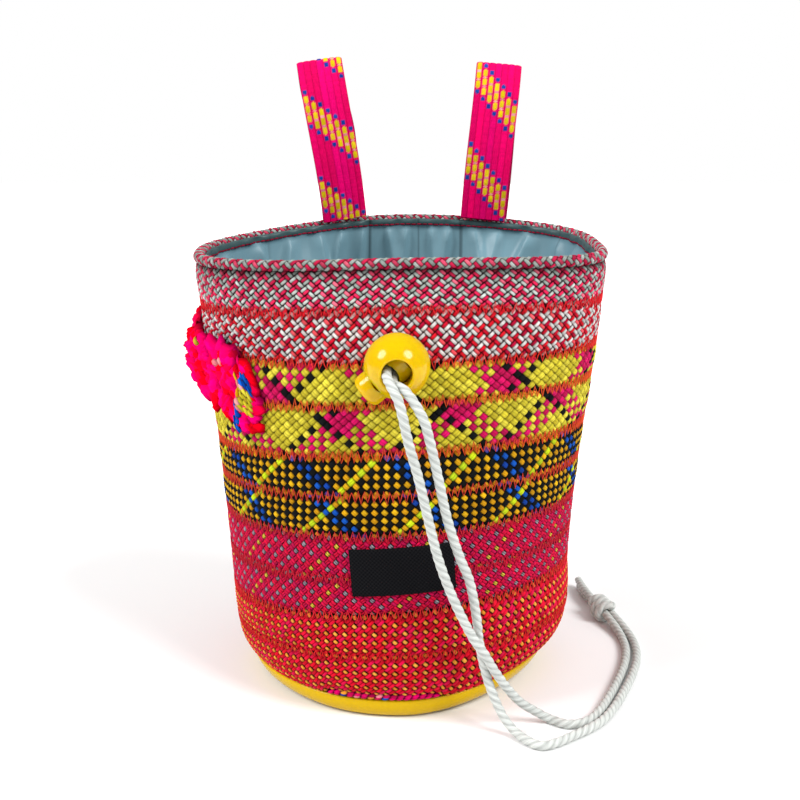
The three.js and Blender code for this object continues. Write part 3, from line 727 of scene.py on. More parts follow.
# Each band's slot, charts of its rising and falling strands, columns round the bag, row height,
# shift of the two charts, the rows and the columns, share of room filled, pill height and length,
# and backing colour, dark as painted shade in the gaps between the yarns
BANDS = {
    1: ("sheath_grey_raspberry", HOUND_ASH, 108, 3.3, (0, 0, 0.2, 0), (0.9, 0.9), 0.65, 1.12, "280410"),
    2: ("sheath_white_red", HOUND_RED, 110, 3.4, (0, 0, 0.2, 0), (0.9, 0.9), 0.65, 1.12, "500408"),
    3: ("sheath_yellow_magenta", BLOCKS, 110, 3.2, (0, 10, 0.79, 0), (1, 1), 0.8, 1.22, "180208"),
    4: ("sheath_yellow_magenta", BLOCKS_BACK, 110, 3.2, (0, 4, 0.86, 0), (1, 1), 0.8, 1.22, "180208"),
    5: ("sheath_black_orange", DOTS, 120, 2.75, (5, 6, 0.615, 0.215), (1, 0.8), 0.7, 1.3, "040506"),
    6: ("sheath_black_orange", DOTS, 120, 2.75, (9, 3, 0.41, 0), (1, 0.8), 0.7, 1.3, "040506"),
    7: ("sheath_crimson_grey", SPECKS, 130, 2.57, (9, 0, 0.05, 0), (0.74, 1.08), 0.55, 1.3, "280210"),
    8: ("sheath_crimson_grey", SPECKS, 130, 2.57, (9, 0, 0.14, 0), (0.74, 1.08), 0.55, 1.3, "280210"),
    9: ("sheath_red_orange", SEEDS, 116, 3.1, (0, 0, 0.2, 0), (1.15, 0.52), 0.6, 1.25, "30020a"),
    10: ("sheath_red_orange", SEEDS, 112, 3.35, (0, 0, 0.4, 0), (1.15, 0.52), 0.6, 1.25, "30020a"),
}


def hem_share(angle, room=0):
    at = half_turns(angle)
    low = HEM["from"] - room
    high = HEM["to"] + room
    rise = smoothstep(at, low, low + HEM["fade"])
    return rise * (1 - smoothstep(at, high - HEM["fade"], high))


def round_bag(height):
    """Length of a line round the bag at a height of the wall, and a map from places on it to angles."""
    arc = lengths_along(off_wall(FULL_TURN, height(FULL_TURN), 0))
    return arc[-1], lambda u: np.interp(u % arc[-1], arc, FULL_TURN)


def band_surface(number):
    """Maps from places on a band's flat cloth to its face and its inside, and the cloth's width and
    height."""
    drop = 2 * ROLL_RADIUS - 0.1 if number == 1 else 0
    lift = HEM["height"] + 0.6 if number == len(SEAMS) - 1 else 0

    def top(a):
        return seam_height(SEAMS[number - 1], a) - BAND_GAP - drop

    def bottom(a):
        return seam_height(SEAMS[number], a) + BAND_GAP + lift * hem_share(a, 1)

    width, angle_at = round_bag(lambda a: (top(a) + bottom(a)) / 2)
    height = float(np.mean(top(FULL_TURN) - bottom(FULL_TURN)))

    def place(u, share, out):
        a = angle_at(u)
        return off_wall(a, lerp(bottom(a), top(a), share), out)

    def surface(u, v, out):
        share = v / height
        pull = BAND_CROWN * (1 - np.abs(2 * share - 1) ** 3.5) - BAND_EDGE_PULL
        return place(u, share, pull + out)

    def inside(u, v):
        return place(u, v / height, -BAND_THICK)

    return surface, inside, width, height


def backing(surface, inside, width, height, colour):
    """Closed ring of cloth that the pills stand on, dark as painted shade in the gaps between the yarns."""
    u = np.arange(AROUND) * width / AROUND
    rows = [surface(u, share * height, -BACKING_DEPTH) for share in BACKING_ROWS]
    rows += [inside(u, share * height) for share in (1, 0)]
    rows.append(rows[0])
    return rings(rows, tint(colour))[0]


def stained(yarns, number, height):
    """The same yarns, turned towards the thread that crosses them near the zigzag seams."""
    points, faces, colours, yarn = yarns
    bright = colours.max(1, keepdims=True)
    for seam, away in ((number, points[:, 1]), (number - 1, height - points[:, 1])):
        if seam in ZIGZAGS:
            hue = tint(ZIGZAGS[seam][0])
            near = ZIGZAGS[seam][3] * (1 - smoothstep(away, *STAIN_REACH))
            colours = lerp(colours, bright * hue / hue.max(), near[:, None])
    return points, faces, colours, yarn


def dimmed_or_shaded(yarns, share):
    """The same yarns with a share of their brightness, for a darker colour or for painted shade."""
    points, faces, colours, yarn = yarns
    return points, faces, colours * share, yarn


def sheath_bands():
    finishes = {}
    for number, (slot, charts, columns, row, shift, full, dome, long, ground) in BANDS.items():
        surface, inside, width, height = band_surface(number)
        edge = FIRST_EDGE if number == 1 else 1
        yarns = braid(width, height, columns, row, *charts, shift, full, dome, long, edge)
        yarns = stained(yarns, number, height)
        if number == 1:
            # Band 1 grows darker towards its top, and painted shade under the roll darkens its top part
            # further
            share = yarns[0][:, 1:2] / height
            start, shadow = ROLL_SHADOW
            yarns = dimmed_or_shaded(yarns, lerp(*FIRST_BRIGHT, share) * (1 - shadow * smoothstep(share, start, 1)))
        if slot not in finishes:
            finishes[slot] = yarn_finish(slot, line=0.68)
        shape = joined([laid_on(surface, yarns), backing(surface, inside, width, height, ground)])
        name = f"sheath_band_{number}"
        piece(name, shape, finishes[slot], slot, [name])
    return finishes


def rim_roll(finish):
    width, angle_at = round_bag(lambda a: seam_height(MOUTH, a) - ROLL_RADIUS)
    height = 2 * np.pi * ROLL_CORE

    def surface(u, v, out):
        a = angle_at(u)
        spin = v / ROLL_CORE - np.pi / 2
        reach = ROLL_CORE + out
        middle = seam_height(MOUTH, a) - ROLL_RADIUS
        points = off_wall(a, middle, reach * np.cos(spin) - ROLL_INSET)
        points[..., 2] = middle + reach * np.sin(spin)
        return points

    yarns = braid(width, height * ROLL_COVER, 108, 3.6, *HOUND_ASH, shift=(0, 1, 0.1, 0),
                  full=(0.95, 0.95), dome=0.6, long=1.3, edge=ROLL_EDGE)
    u = np.arange(AROUND) * width / AROUND
    # The dark core under the yarns is painted shade in the gaps between them
    core = rings([surface(u, share * height, -0.1) for share in np.linspace(0, 1, 11)], tint("180810"))[0]
    shape = joined([laid_on(surface, dimmed_or_shaded(yarns, ROLL_BRIGHT)), core])
    piece("rim_roll", shape, finish, "sheath_grey_raspberry", ["rim_roll"])


# Zigzag seams

THREAD_RADIUS = 0.18
# How far a stitch stands off the wall at its middle and at its ends
THREAD_STAND = (0.5, 0.45)
# Spread of the stitches along a seam and in height
STITCH_SPREAD = (0.22, 0.16)
# Thread over each seam: colour, stitches round the bag, half the height of a stitch, and how much
# the yarns next to it take its colour
ZIGZAGS = {
    1: ("d01420", 182, 1.9, 0.6), 2: ("d0281c", 188, 1.9, 0.5), 3: ("d04a18", 190, 1.9, 0.5),
    4: ("cc4018", 190, 1.9, 0.5), 5: ("c03420", 190, 1.9, 0.35), 6: ("b81c28", 192, 1.8, 0.35),
    7: ("b41428", 192, 1.8, 0.3), 8: ("c81820", 192, 1.8, 0.4), 9: ("c41418", 192, 1.6, 0.3),
}


def thread(line, away, radius, colour, sides=5):
    """Thin closed loop of thread whose line has a direction away from the cloth at each point."""
    run = unit(np.roll(line, -1, axis=0) - np.roll(line, 1, axis=0))
    aside = unit(np.cross(run, away))
    loops = tube(line, radius, aside, np.cross(aside, run), sides)
    loops = np.vstack([loops, loops[:1]])
    yarn = np.stack(grid(np.arange(len(loops)) * 0.3, np.full(sides, 0.5)), -1)
    return rings(loops, tint(colour), yarn)[0]


def seam_threads():
    finish = yarn_finish("seam_thread", roughness=0.6, specular=0.2)
    for seam, (colour, stitches, half, _) in ZIGZAGS.items():
        width, angle_at = round_bag(lambda a: seam_height(SEAMS[seam], a))
        steps = np.arange(4 * stitches)
        shaken = steps + chance.normal(0, STITCH_SPREAD[0], len(steps))
        a = angle_at(shaken * width / len(steps))
        swing = np.array([-1, 0, 1, 0])[steps % 4]
        z = seam_height(SEAMS[seam], a) + swing * half * chance.normal(1, STITCH_SPREAD[1], len(steps))
        line = off_wall(a, z, np.where(swing == 0, *THREAD_STAND))
        away = np.concatenate([wall_normal(a, z), np.zeros((len(a), 1))], -1)
        slot = BANDS[seam][0]
        piece(f"seam_thread_{seam}", thread(line, away, THREAD_RADIUS, colour), finish, slot)


# Lining

LINING_INSET = 3.0
LINING_WALL = 1.0
LINING_BELOW_MOUTH = 1.5
LINING_FLOOR = 2.6
# Height where the wall starts above the round of the floor, and its rows up to the hem
LINING_LOW = 8.6
LINING_ROWS = 44
# Colour of the cloth, and of its hem, which is the same cloth drawn darker as painted shade
LINING_CLOTH = "6c8e9a"
LINING_HEM_SHADED = "3a5254"
HEM_DEPTH = 2.3
STITCH_STEP = 2.2
# Heights between which folds grow, how far down the hem holds them, and the width of a crease at the
# hem with the distance down that adds one more width
FOLDS_GROW = (8, 40)
FOLDS_HELD = 20
CREASE_WIDTH = 0.7
CREASE_SPREAD = 30
# Folds that stand in from the wall: angle, depth and half width in degrees
LINING_FOLDS = [
    (40, 2.2, 16), (95, 3, 14), (143, 5.5, 13), (172, 1.5, 8), (199, -1, 6), (222, 5, 14),
    (275, 3, 15), (325, 2.2, 16),
]
# Creases that stand in from the wall: angle at the hem, turn for each millimetre down, reach in degrees
# towards smaller and larger angles, and depth
LINING_CREASES = [
    (104, 0.2, 7, 5, 2.7), (118, -0.15, 5, 7, 2.4), (131, 0.3, 7, 3, 2.7), (142, 0.15, 3, 6, 2.25),
    (151, -0.2, 3, 5, 2.25), (160, 0.2, 2.5, 5, 2.55), (168, -0.1, 5, 2.2, 2.1), (177, 0.15, 2.5, 5, 2.4),
    (186, -0.2, 5, 2.5, 2.4), (196, 0.1, 2.2, 5, 2.1), (205, 0.3, 5, 2.5, 2.7), (215, -0.15, 3, 6, 2.4),
    (227, 0.3, 7, 3, 2.7), (241, -0.2, 4, 7, 2.7), (257, 0.2, 6, 6, 2.4), (280, 0.3, 6, 7, 2.7),
    (305, -0.3, 7, 6, 2.4), (330, 0.3, 7, 7, 2.4), (5, -0.3, 7, 7, 2.4), (30, 0.3, 7, 7, 2.4),
    (60, -0.3, 7, 6, 2.7), (86, 0.3, 6, 5, 2.7),
]
# Dark lines down the cloth, painted shade in its notches and seams: angle, half width in degrees, and how
# dark they are. They fade out between two distances under the hem.
LINING_NOTCH_SHADES = [(156, 0.9, 0.75), (172.5, 0.45, 0.4), (193, 0.9, 0.75), (236, 0.5, 0.4), (118, 0.5, 0.4)]
NOTCH_SHADES_FADE = (14, 40)


def hem_pucker(a):
    return 0.18 * (np.sin(37 * a) + np.sin(53 * a + 1) + np.sin(23 * a + 2))


def lining():
    columns = 3 * AROUND
    a = circle(columns)
    turn = np.degrees(a)
    top = seam_height(MOUTH, a) - LINING_BELOW_MOUTH
    hem = top - HEM_DEPTH

    def apart(middle, at):
        return (at - middle + 180) % 360 - 180

    def fold(z):
        grown = smoothstep(z, *FOLDS_GROW)
        held = 1 - smoothstep(z, hem - FOLDS_HELD, hem)
        deep = sum(depth * np.exp(-((apart(middle, turn) / width) ** 2))
                   for middle, depth, width in LINING_FOLDS)
        down = np.maximum(hem - z, 0)
        sharp = 0
        for middle, lean, less, more, depth in LINING_CREASES:
            off = apart(middle + lean * down, turn)
            reach = np.where(off < 0, less, more) * (CREASE_WIDTH + down / CREASE_SPREAD)
            tent = np.maximum(0, 1 - np.abs(off) / reach)
            sharp = sharp + depth * tent**1.3
        drawn = smoothstep(down, 0, 4) * (1 - 0.6 * smoothstep(down, 20, 60))
        return (deep * held + sharp * drawn) * grown

    def wall(z, inset):
        return off_wall(a, z, -LINING_INSET - inset - fold(z))

    def corner(up, inset, deeper):
        return off_wall(a, LINING_FLOOR + up + deeper, -LINING_INSET - inset - deeper, BASE_PLAN)

    # Rows of the hem over the top: height, thickness in walls, and how much it is puckered
    over_hem = [
        (hem - 0.1, 1, 0), (hem + 0.1, 1.5, 1), (hem + 0.9, 1.7, 1.3), (top - 0.4, 1.6, 1),
        (top, 1.3, 0), (top, 0.5, 0), (top - 0.4, 0, 0),
    ]
    pucker = hem_pucker(a)
    heights = [lerp(LINING_LOW, hem, share) for share in np.linspace(0, 1, LINING_ROWS) ** 0.6]
    rows = [corner(up, inset, LINING_WALL) for up, inset in ((0, 6), (0.5, 3.2), (2, 1.5))]
    rows += [wall(z, LINING_WALL) for z in heights[:-1]]
    rows += [wall(z, walls * LINING_WALL + share * pucker) for z, walls, share in over_hem]
    rows += [wall(z, 0) for z in heights[::-1]]
    rows += [corner(2, 1.5, 0), corner(0, 6, 0)]
    points = np.array(rows)
    arc = np.broadcast_to(np.linspace(0, 400, columns), points.shape[:2])
    # The hem and the cloth's outer face take the darker colour, painted shade
    at_hem = (np.arange(len(rows)) >= len(heights) + 3)[:, None] * np.ones(columns)
    colours = lerp(tint(LINING_CLOTH), tint(LINING_HEM_SHADED), at_hem[..., None])
    down = hem - points[..., 2]
    # Painted shade along the notches down the cloth
    for middle, width, depth in LINING_NOTCH_SHADES:
        near = np.maximum(0, 1 - np.abs(apart(middle, turn)) / width)
        colours = colours * (1 - depth * near * (1 - smoothstep(down, *NOTCH_SHADES_FADE)))[..., None]
    shape, caps = rings(points, colours, np.stack([arc, points[..., 2]], -1), flip=True)
    made = piece("lining", shape, nylon_finish(), "lining_nylon", ["lining"], caps=caps)


def hem_stitches():
    """Running stitches in raspberry thread along the lining's hem."""
    width, angle_at = round_bag(lambda a: seam_height(MOUTH, a))
    at = np.arange(0, width - STITCH_STEP, STITCH_STEP)

    def surface(u, v, out):
        a = angle_at(u)
        z = seam_height(MOUTH, a) - LINING_BELOW_MOUTH - HEM_DEPTH + 0.15 + v
        return off_wall(a, z, -LINING_INSET - 1.45 * LINING_WALL - hem_pucker(a) - out)

    places = np.stack([at, chance.normal(0, 0.06, len(at))], -1)
    dark = 0.4 * shades(["raspberry"] * len(at))
    yarns = pills(places, np.zeros(len(at)), lengths=2.3, widths=0.7, height=0.35, colours=dark, sink=0.1)
    points, faces, colours, yarn = laid_on(surface, yarns)
    finish = yarn_finish("hem_thread", roughness=0.7, specular=0.1)
    piece("hem_stitches", (points, faces[:, ::-1], colours, yarn), finish, "lining_nylon")


# Vinyl base and the strip of sheath above it

BASE_YELLOW = tint("c8a400")
# Edge of the base from the floor up: height and inset
BASE_SECTION = [(0, 5.4), (0.25, 4.2), (0.6, 3.2), (1.1, 2.5), (1.8, 1.9), (3.0, 1.2), (4.2, 0.7)]


def base():
    a = circle(AROUND)
    edge = seam_height(BASE_SEAM, a) - BAND_GAP
    over_edge = [(edge - 0.7, 0.3), (edge - 0.2, 0.45), (edge, 0.9), (edge, 2.0), (3, 2.9), (2, 6.0)]
    rows = [off_wall(a, z, -inset, BASE_PLAN) for z, inset in BASE_SECTION + over_edge]
    shape, caps = rings(rows, BASE_YELLOW)
    finish = plastic_finish("base_vinyl", BASE_YELLOW, roughness=0.22, specular=0.14, scale=900, depth=0.03)
    piece("base", shape, finish, "base_vinyl", ["base"], caps=caps)


# Length of the hem strip's cloth, the heights of its rows of yarn, and its odd yarns by number
HEM_SPAN = 38.0
HEM_ROWS = (0.3, 0.75)
HEM_FLECKS = {2: "blue", 4: "pale", 6: "apricot", 18: "apricot", 23: "pale", 8: "blue"}


def hem_strip(finish):
    low = math.radians(HEM["from"] + 2.5)
    high = math.radians(HEM["to"] - 2.5)

    def surface(u, v, out):
        a = lerp(low, high, u / HEM_SPAN)
        z = seam_height(BASE_SEAM, a) + BAND_GAP + v * HEM["height"] * hem_share(a)
        return off_wall(a, z, out - 0.3 - 0.5 * np.abs(2 * v - 1) ** 3)

    flecks = ["fuchsia", "magenta"]
    places = np.array([(u, v) for v in HEM_ROWS for u in np.arange(1.2 + v, HEM_SPAN - 1, 2.3)])
    names = [flecks[k] for k in chance.integers(len(flecks), size=len(places))]
    for spot, colour in HEM_FLECKS.items():
        names[spot] = colour
    yarns = pills(places, np.full(len(places), 0.25), lengths=2.4, widths=0.8, height=0.35,
                  colours=shades(names), sink=0.2)
    u, v = np.meshgrid(np.linspace(0, HEM_SPAN, 40), np.linspace(0, 1, 5))
    ground = shell(surface(u, v, -0.15), surface(u, v, -1.4), tint("600430"))
    piece("hem_strip", joined([laid_on(surface, yarns), ground]), finish, "sheath_magenta", ["hem_strip"])


# Belt loops

LOOP_WIDTH = 17.2
LOOP_THICK = 1.8
LOOP_TWIST = 0.7
LOOP_RIBS = 7
# How much thinner a tape's edges are, how far its ribs stop short of its ends, and their points apart
LOOP_THINNER = 0.45
RIB_SHORT = 0.4
RIB_POINTS = 0.45
# Angle on the rim, lean in degrees, height, start of the colours, and how far the foot is slid aside
BELT_LOOPS = {
    "belt_loop_left": (204, 7.8, 59.4, 24.5, 2.2),
    "belt_loop_right": (148, -4.8, 57.4, 7.3, 0),
}
# Side view of a loop: distance out from the wall, with height over the rim or share of the loop's
LOOP_BELOW = [(3, -15), (2.5, -8), (2.2, 0)]
LOOP_ABOVE = [
    (4.4, 0.22), (5.6, 0.5), (4.4, 0.8), (0.9, 0.98), (-0.9, 1), (-2.7, 0.98), (-6.2, 0.8),
    (-7.2, 0.5), (-6.4, 0.22), (-5, -0.014),
]
# Colours down one rib, the length of each, and the step of the pattern from rib to rib
RIB = [
    ("navy", 1.8), ("fuchsia", 0.5), ("lemon", 2.8), ("pale", 0.7), ("lemon", 2.8), ("pale", 0.7),
    ("lemon", 2.8), ("fuchsia", 0.5), ("navy", 1.8), ("fuchsia", 17.6),
]
RIB_LENGTH = sum(length for _, length in RIB)
RIB_STEP = 2.55
# Height of a rib, how far a coloured yarn stands over it, the painted shade at its sides, and how much of
# its width each colour takes
RIB_HEIGHT = 0.32
RIB_YARN = 0.16
RIB_SHADE = 0.22
RIB_REACH = {"navy": 0.62, "lemon": 0.62, "pale": 0.8, "fuchsia": 1}
RIB_ACROSS = np.array([-1, -0.8, -0.45, 0, 0.45, 0.8, 1])


def belt_loop(name, finish):
    angle, lean, height, phase, slide = BELT_LOOPS[name]
    turn = math.radians(angle)
    mouth = float(seam_height(MOUTH, turn))
    root = off_wall(turn, mouth, 0.0)
    away = wall_normal(turn, mouth)
    wall_turn = math.atan2(away[1], away[0])
    outline = LOOP_BELOW + [(out, share * height) for out, share in LOOP_ABOVE]
    line = evenly(smooth_line(outline, plain=True), step=0.6)
    at = lengths_along(line)
    runs = unit(np.gradient(line, axis=0))
    tilt = math.radians(lean)

    def surface(u, v, out):
        """Place along the tape, place across it and height over its middle on the loop's outside."""
        here = np.stack([np.interp(u, at, line[:, k]) for k in (0, 1)], -1)
        run = np.stack([np.interp(u, at, runs[:, k]) for k in (0, 1)], -1)
        facing = lerp(wall_turn, np.pi / 2, LOOP_TWIST * smoothstep(here[..., 1], 0, height))
        zero = np.zeros_like(facing)
        outward = np.stack([np.cos(facing), np.sin(facing), zero], -1)
        sideways = np.stack([-outward[..., 1], outward[..., 0], zero], -1)
        up = np.array([0, 0, 1.0])
        upward = up * math.cos(tilt) + sideways * math.sin(tilt)
        across = sideways * math.cos(tilt) - up * math.sin(tilt)
        from_wall = here[..., 0] + out * run[..., 1]
        rise = here[..., 1] - out * run[..., 0]
        low = 1 - smoothstep(here[..., 1], 0.5 * height, 0.9 * height)
        v = v - slide * smoothstep(here[..., 0], -1, 4) * low
        return root + outward * from_wall[..., None] + upward * rise[..., None] + across * v[..., None]

    def thick(v):
        return LOOP_THICK / 2 * (1 - LOOP_THINNER * np.abs(2 * v / LOOP_WIDTH) ** 6)

    rib_width = LOOP_WIDTH / LOOP_RIBS
    stops = np.arange(RIB_SHORT, at[-1] - RIB_SHORT, RIB_POINTS)
    s, t = grid(stops, RIB_ACROSS)
    ribs = []
    for rib in range(LOOP_RIBS):
        lift = RIB_HEIGHT * domed(t)
        colours = np.broadcast_to(shades(["fuchsia"])[0], (*s.shape, 3)).copy()
        colours *= chance.normal(1, 0.05, (len(stops), 1, 1))
        place = (stops + RIB_STEP * rib + phase) % RIB_LENGTH
        start = 0
        for colour, length in RIB[:-1]:
            inside = np.abs(place - start - length / 2) / (length / 2)
            start += length
            rounding = np.sqrt(np.maximum(0, 1 - inside**2))[:, None]
            reach = RIB_REACH[colour] * rounding**0.5
            shown = (np.abs(t) < reach) & (inside < 1)[:, None]
            colours[shown] = shades([colour])[0]
            lift = lift + RIB_YARN * shown * rounding
        # Painted shade darkens each rib towards its sides
        colours *= 1 - RIB_SHADE * np.abs(t)[..., None] ** 4
        across = (rib - (LOOP_RIBS - 1) / 2 + 0.51 * t) * rib_width
        points = surface(s, across, lift + thick(across) - 0.15)
        yarn = np.stack([s / 3 + 7 * rib, 0.5 + 0.3 * t], -1)
        ribs.append(part(points, grid_faces(*s.shape), colours, yarn))
    u, v = grid(at[::3], np.linspace(-0.5, 0.5, 13) * LOOP_WIDTH)
    ground = shell(surface(u, v, thick(v) - 0.25), surface(u, v, -thick(v) * 0.9), tint("b4004a"))
    piece(name, joined([*ribs, ground]), finish, "sheath_magenta", [name])


# Brush loop

# Line of the loop round the wall: angle, distance off the wall, height of its lower and upper edge
BRUSH_FOLDS = np.array([
    [-100, 0.6, 120, 128.5], [-95, 2.2, 116, 130], [-90, 3.6, 113.5, 129], [-85, 4.2, 112, 127.5],
    [-80, 4, 111.5, 126.5], [-75, 3, 109, 125.5], [-70, 1.6, 105.5, 125], [-65, 1.2, 103, 124.5],
    [-60, 1.3, 100.5, 124], [-55, 1.3, 99.5, 122], [-50, 0.9, 97.5, 118], [-47, 0.4, 98, 112],
])
BRUSH_THICK = 1.5
BRUSH_LENGTH = 66.0
BRUSH_TALL = 20.0
# Two layers of tufts: distance apart, length, width and height
BRUSH_TUFTS = ((4.2, 7.6, 6, 2.2), (3, 4.6, 3.4, 2.4))
# Other yarns on the loop: place along and across, number each way, and colour
BRUSH_FLECKS = [
    (62.6, 16, 3, 2, "blue"), (57.5, 2.4, 2, 4, "blue"), (62.4, 9.5, 3, 4, "yellow"),
    (58.5, 12, 1, 3, "orange"), (48, 15, 2, 1, "pale"), (60.5, 13.6, 2, 1, "pale"),
    (59.5, 6.5, 1, 2, "pale"), (36, 18, 1, 1, "yellow"),
]


def lifted(yarns, height):
    """The same yarns, higher over the cloth."""
    return yarns[0] + np.array([0, 0, height]), *yarns[1:]


def brush_loop():
    finish = yarn_finish("sheath_pink", roughness=0.9, specular=0.02, fineness=5, depth=0.25)
    face = BRUSH_THICK / 2 - 0.3

    def ruffle(u, v):
        return 0.85 * np.sin(u * 0.75 + 1.3 * np.sin(v * 0.3)) + 0.7 * np.sin(v * 0.85 + u * 0.35)

    def surface(u, v, out):
        angle = lerp(BRUSH_FOLDS[0, 0], BRUSH_FOLDS[-1, 0], u / BRUSH_LENGTH)
        share = v / BRUSH_TALL
        ends = smoothstep(np.minimum(u, BRUSH_LENGTH - u), 0, 9)
        scallop = 1.2 * np.sin(u * 0.9 + 0.6) * (2 * share - 1)
        z = lerp(along(BRUSH_FOLDS, 2, angle), along(BRUSH_FOLDS, 3, angle), share) + scallop * ends
        leaning = 1 - 0.75 * smoothstep(share, 0.55, 1) * smoothstep(-angle, 68, 84)
        stand = along(BRUSH_FOLDS, 1, angle) * leaning + BRUSH_THICK / 2
        return off_wall(np.radians(angle), z, np.maximum(stand + ends * ruffle(u, v), 0.9) + out)

    made = []
    for step, long, wide, high in BRUSH_TUFTS:
        spots = np.array([(u, v) for u in np.arange(1.5, BRUSH_LENGTH - 1, step)
                          for v in np.arange(1.2, BRUSH_TALL, step)])
        spots = spots + chance.normal(0, 0.16 * step, spots.shape)
        headings = chance.normal(0.6, 0.7, len(spots))
        sizes = chance.uniform(0.8, 1.15, len(spots))
        # Painted shade darkens each tuft's edges and the tufts that lie in the ruffle's troughs
        tufts = pills(spots, headings, long * sizes, wide * sizes, high, shades(["hot"] * len(spots)),
                      sink=0.4, edge=1.25)
        dent = smoothstep(ruffle(tufts[0][:, 0], tufts[0][:, 1]), -1.5, 0.3)
        made.append(dimmed_or_shaded(tufts, lerp(0.4, 1.06, dent)[:, None]))
    for u, v, wide, tall, colour in BRUSH_FLECKS:
        spots = np.array([(u + (i - (wide - 1) / 2) * 1.7, v + (j - (tall - 1) / 2) * 2.1)
                          for i in range(wide) for j in range(tall)])
        headings = chance.normal(-0.7, 0.2, len(spots))
        flecks = pills(spots, headings, lengths=3, widths=1.7, height=0.7,
                       colours=shades([colour] * len(spots)), sink=0.3)
        made.append(lifted(flecks, 2))
    yarns = lifted(joined(made), face)
    u, v = grid(np.linspace(0, BRUSH_LENGTH, 90), np.linspace(0, BRUSH_TALL, 24))
    inner = surface(u, v, 0.2 - BRUSH_THICK / 2)
    # The dark red of the ground under the tufts is painted shade in the gaps between them
    ground = shell(surface(u, v, face), inner, tint("90001c"), flip=True)
    piece("brush_loop", joined([laid_on(surface, yarns), ground]), finish, "sheath_pink", ["brush_loop"])


# Label

LABEL = {"width": 33, "height": 15.4, "thick": 0.8, "out": 0.85, "x": 0.8, "z": 55.5, "turn": 4.5}


def label():
    turn = math.radians(LABEL["turn"])

    def surface(u, v, out):
        x = LABEL["x"] + u * math.cos(turn) - v * math.sin(turn)
        z = LABEL["z"] + u * math.sin(turn) + v * math.cos(turn)
        radius = -wall_line(np.zeros_like(z), z)[..., 1]
        return off_wall(np.arcsin(x / radius), z, LABEL["out"] + out)

    u, v = grid(np.linspace(-0.5, 0.5, 67) * LABEL["width"], np.linspace(-0.5, 0.5, 32) * LABEL["height"])
    edge = np.minimum(LABEL["width"] / 2 - np.abs(u), LABEL["height"] / 2 - np.abs(v))
    front = surface(u, v, LABEL["thick"] * (0.55 + 0.45 * smoothstep(edge, 0, 0.9)))
    shape = shell(front, surface(u, v, 0), tint("0c0c0e"), np.stack([u, v], -1), flip=True)
    made = piece("label", shape, label_finish(), "label_cloth", ["label"])


# Ball lock

BUTTON_RADIUS = 5.35
BUTTON_REACH = 13.6
BUTTON_FOOT = -3.1
BUTTON_ROUND = 2
CORD_HOLE_RADIUS = 4.7
HOLE_RIM = 0.8
BORE_BOTTOM = -7.5
BORE_RADIUS = BUTTON_RADIUS + 0.4
# Where the solids that cut the bore and the button's hole end, outside the lock
PAST_BORE = 14
PAST_HOLE = 12
# Oval hole through the button: half width, half length, and how far it stands off the ball's own
# when let go
BUTTON_HOLE = (4.6, 4.25, 4.85)
SHARP_EDGE = math.radians(38)


def turned(profile, sides):
    """Solid of revolution about Y from rows of radius and height, closed where the radius is zero."""
    points = []
    starts = []
    for radius, height in profile:
        starts.append(len(points))
        if radius == 0:
            points.append((0, height, 0))
        else:
            points += [(radius * math.cos(t), height, radius * math.sin(t)) for t in circle(sides)]
    faces = []
    for (r0, _), (r1, _), i0, i1 in zip(profile, profile[1:], starts, starts[1:]):
        for k in range(sides):
            n = (k + 1) % sides
            low = [i0] if r0 == 0 else [i0 + k, i0 + n]
            high = [i1] if r1 == 0 else [i1 + n, i1 + k]
            faces.append((low + high)[::-1])
    if profile[0][0] > 0:
        last = starts[-1]
        faces = [[i % last if i >= last else i for i in face] for face in faces]
        points = points[:last]
    return np.array(points), faces


def in_bag(points):
    return BALL_CENTRE + np.asarray(points, float) @ np.stack([LOCK_SIDE, BUTTON_AXIS, HOLE_AXIS])


def rough_object(name, points, faces, dip=0):
    """Object from points in the lock's own frame, dipped at the front by an angle."""
    c = math.cos(dip)
    s = math.sin(dip)
    turn = np.array([[1, 0, 0], [0, c, -s], [0, s, c]])
    placed = BALL_CENTRE + (in_bag(points) - BALL_CENTRE) @ turn.T
    data = bpy.data.meshes.new(name + "_surface")
    data.from_pydata((placed * MM).tolist(), [], faces)
    return put(data)


def cut(made, cutter):
    """The first object with the second one's room taken out of it."""
    change = made.modifiers.new("cut", "BOOLEAN")
    change.operation = "DIFFERENCE"
    change.solver = "EXACT"
    change.object = cutter
    bpy.context.view_layer.update()
    ready = made.evaluated_get(bpy.context.evaluated_depsgraph_get())
    data = bpy.data.meshes.new_from_object(ready)
    made.modifiers.clear()
    made.data = data
    bpy.data.objects.remove(cutter)
    return made


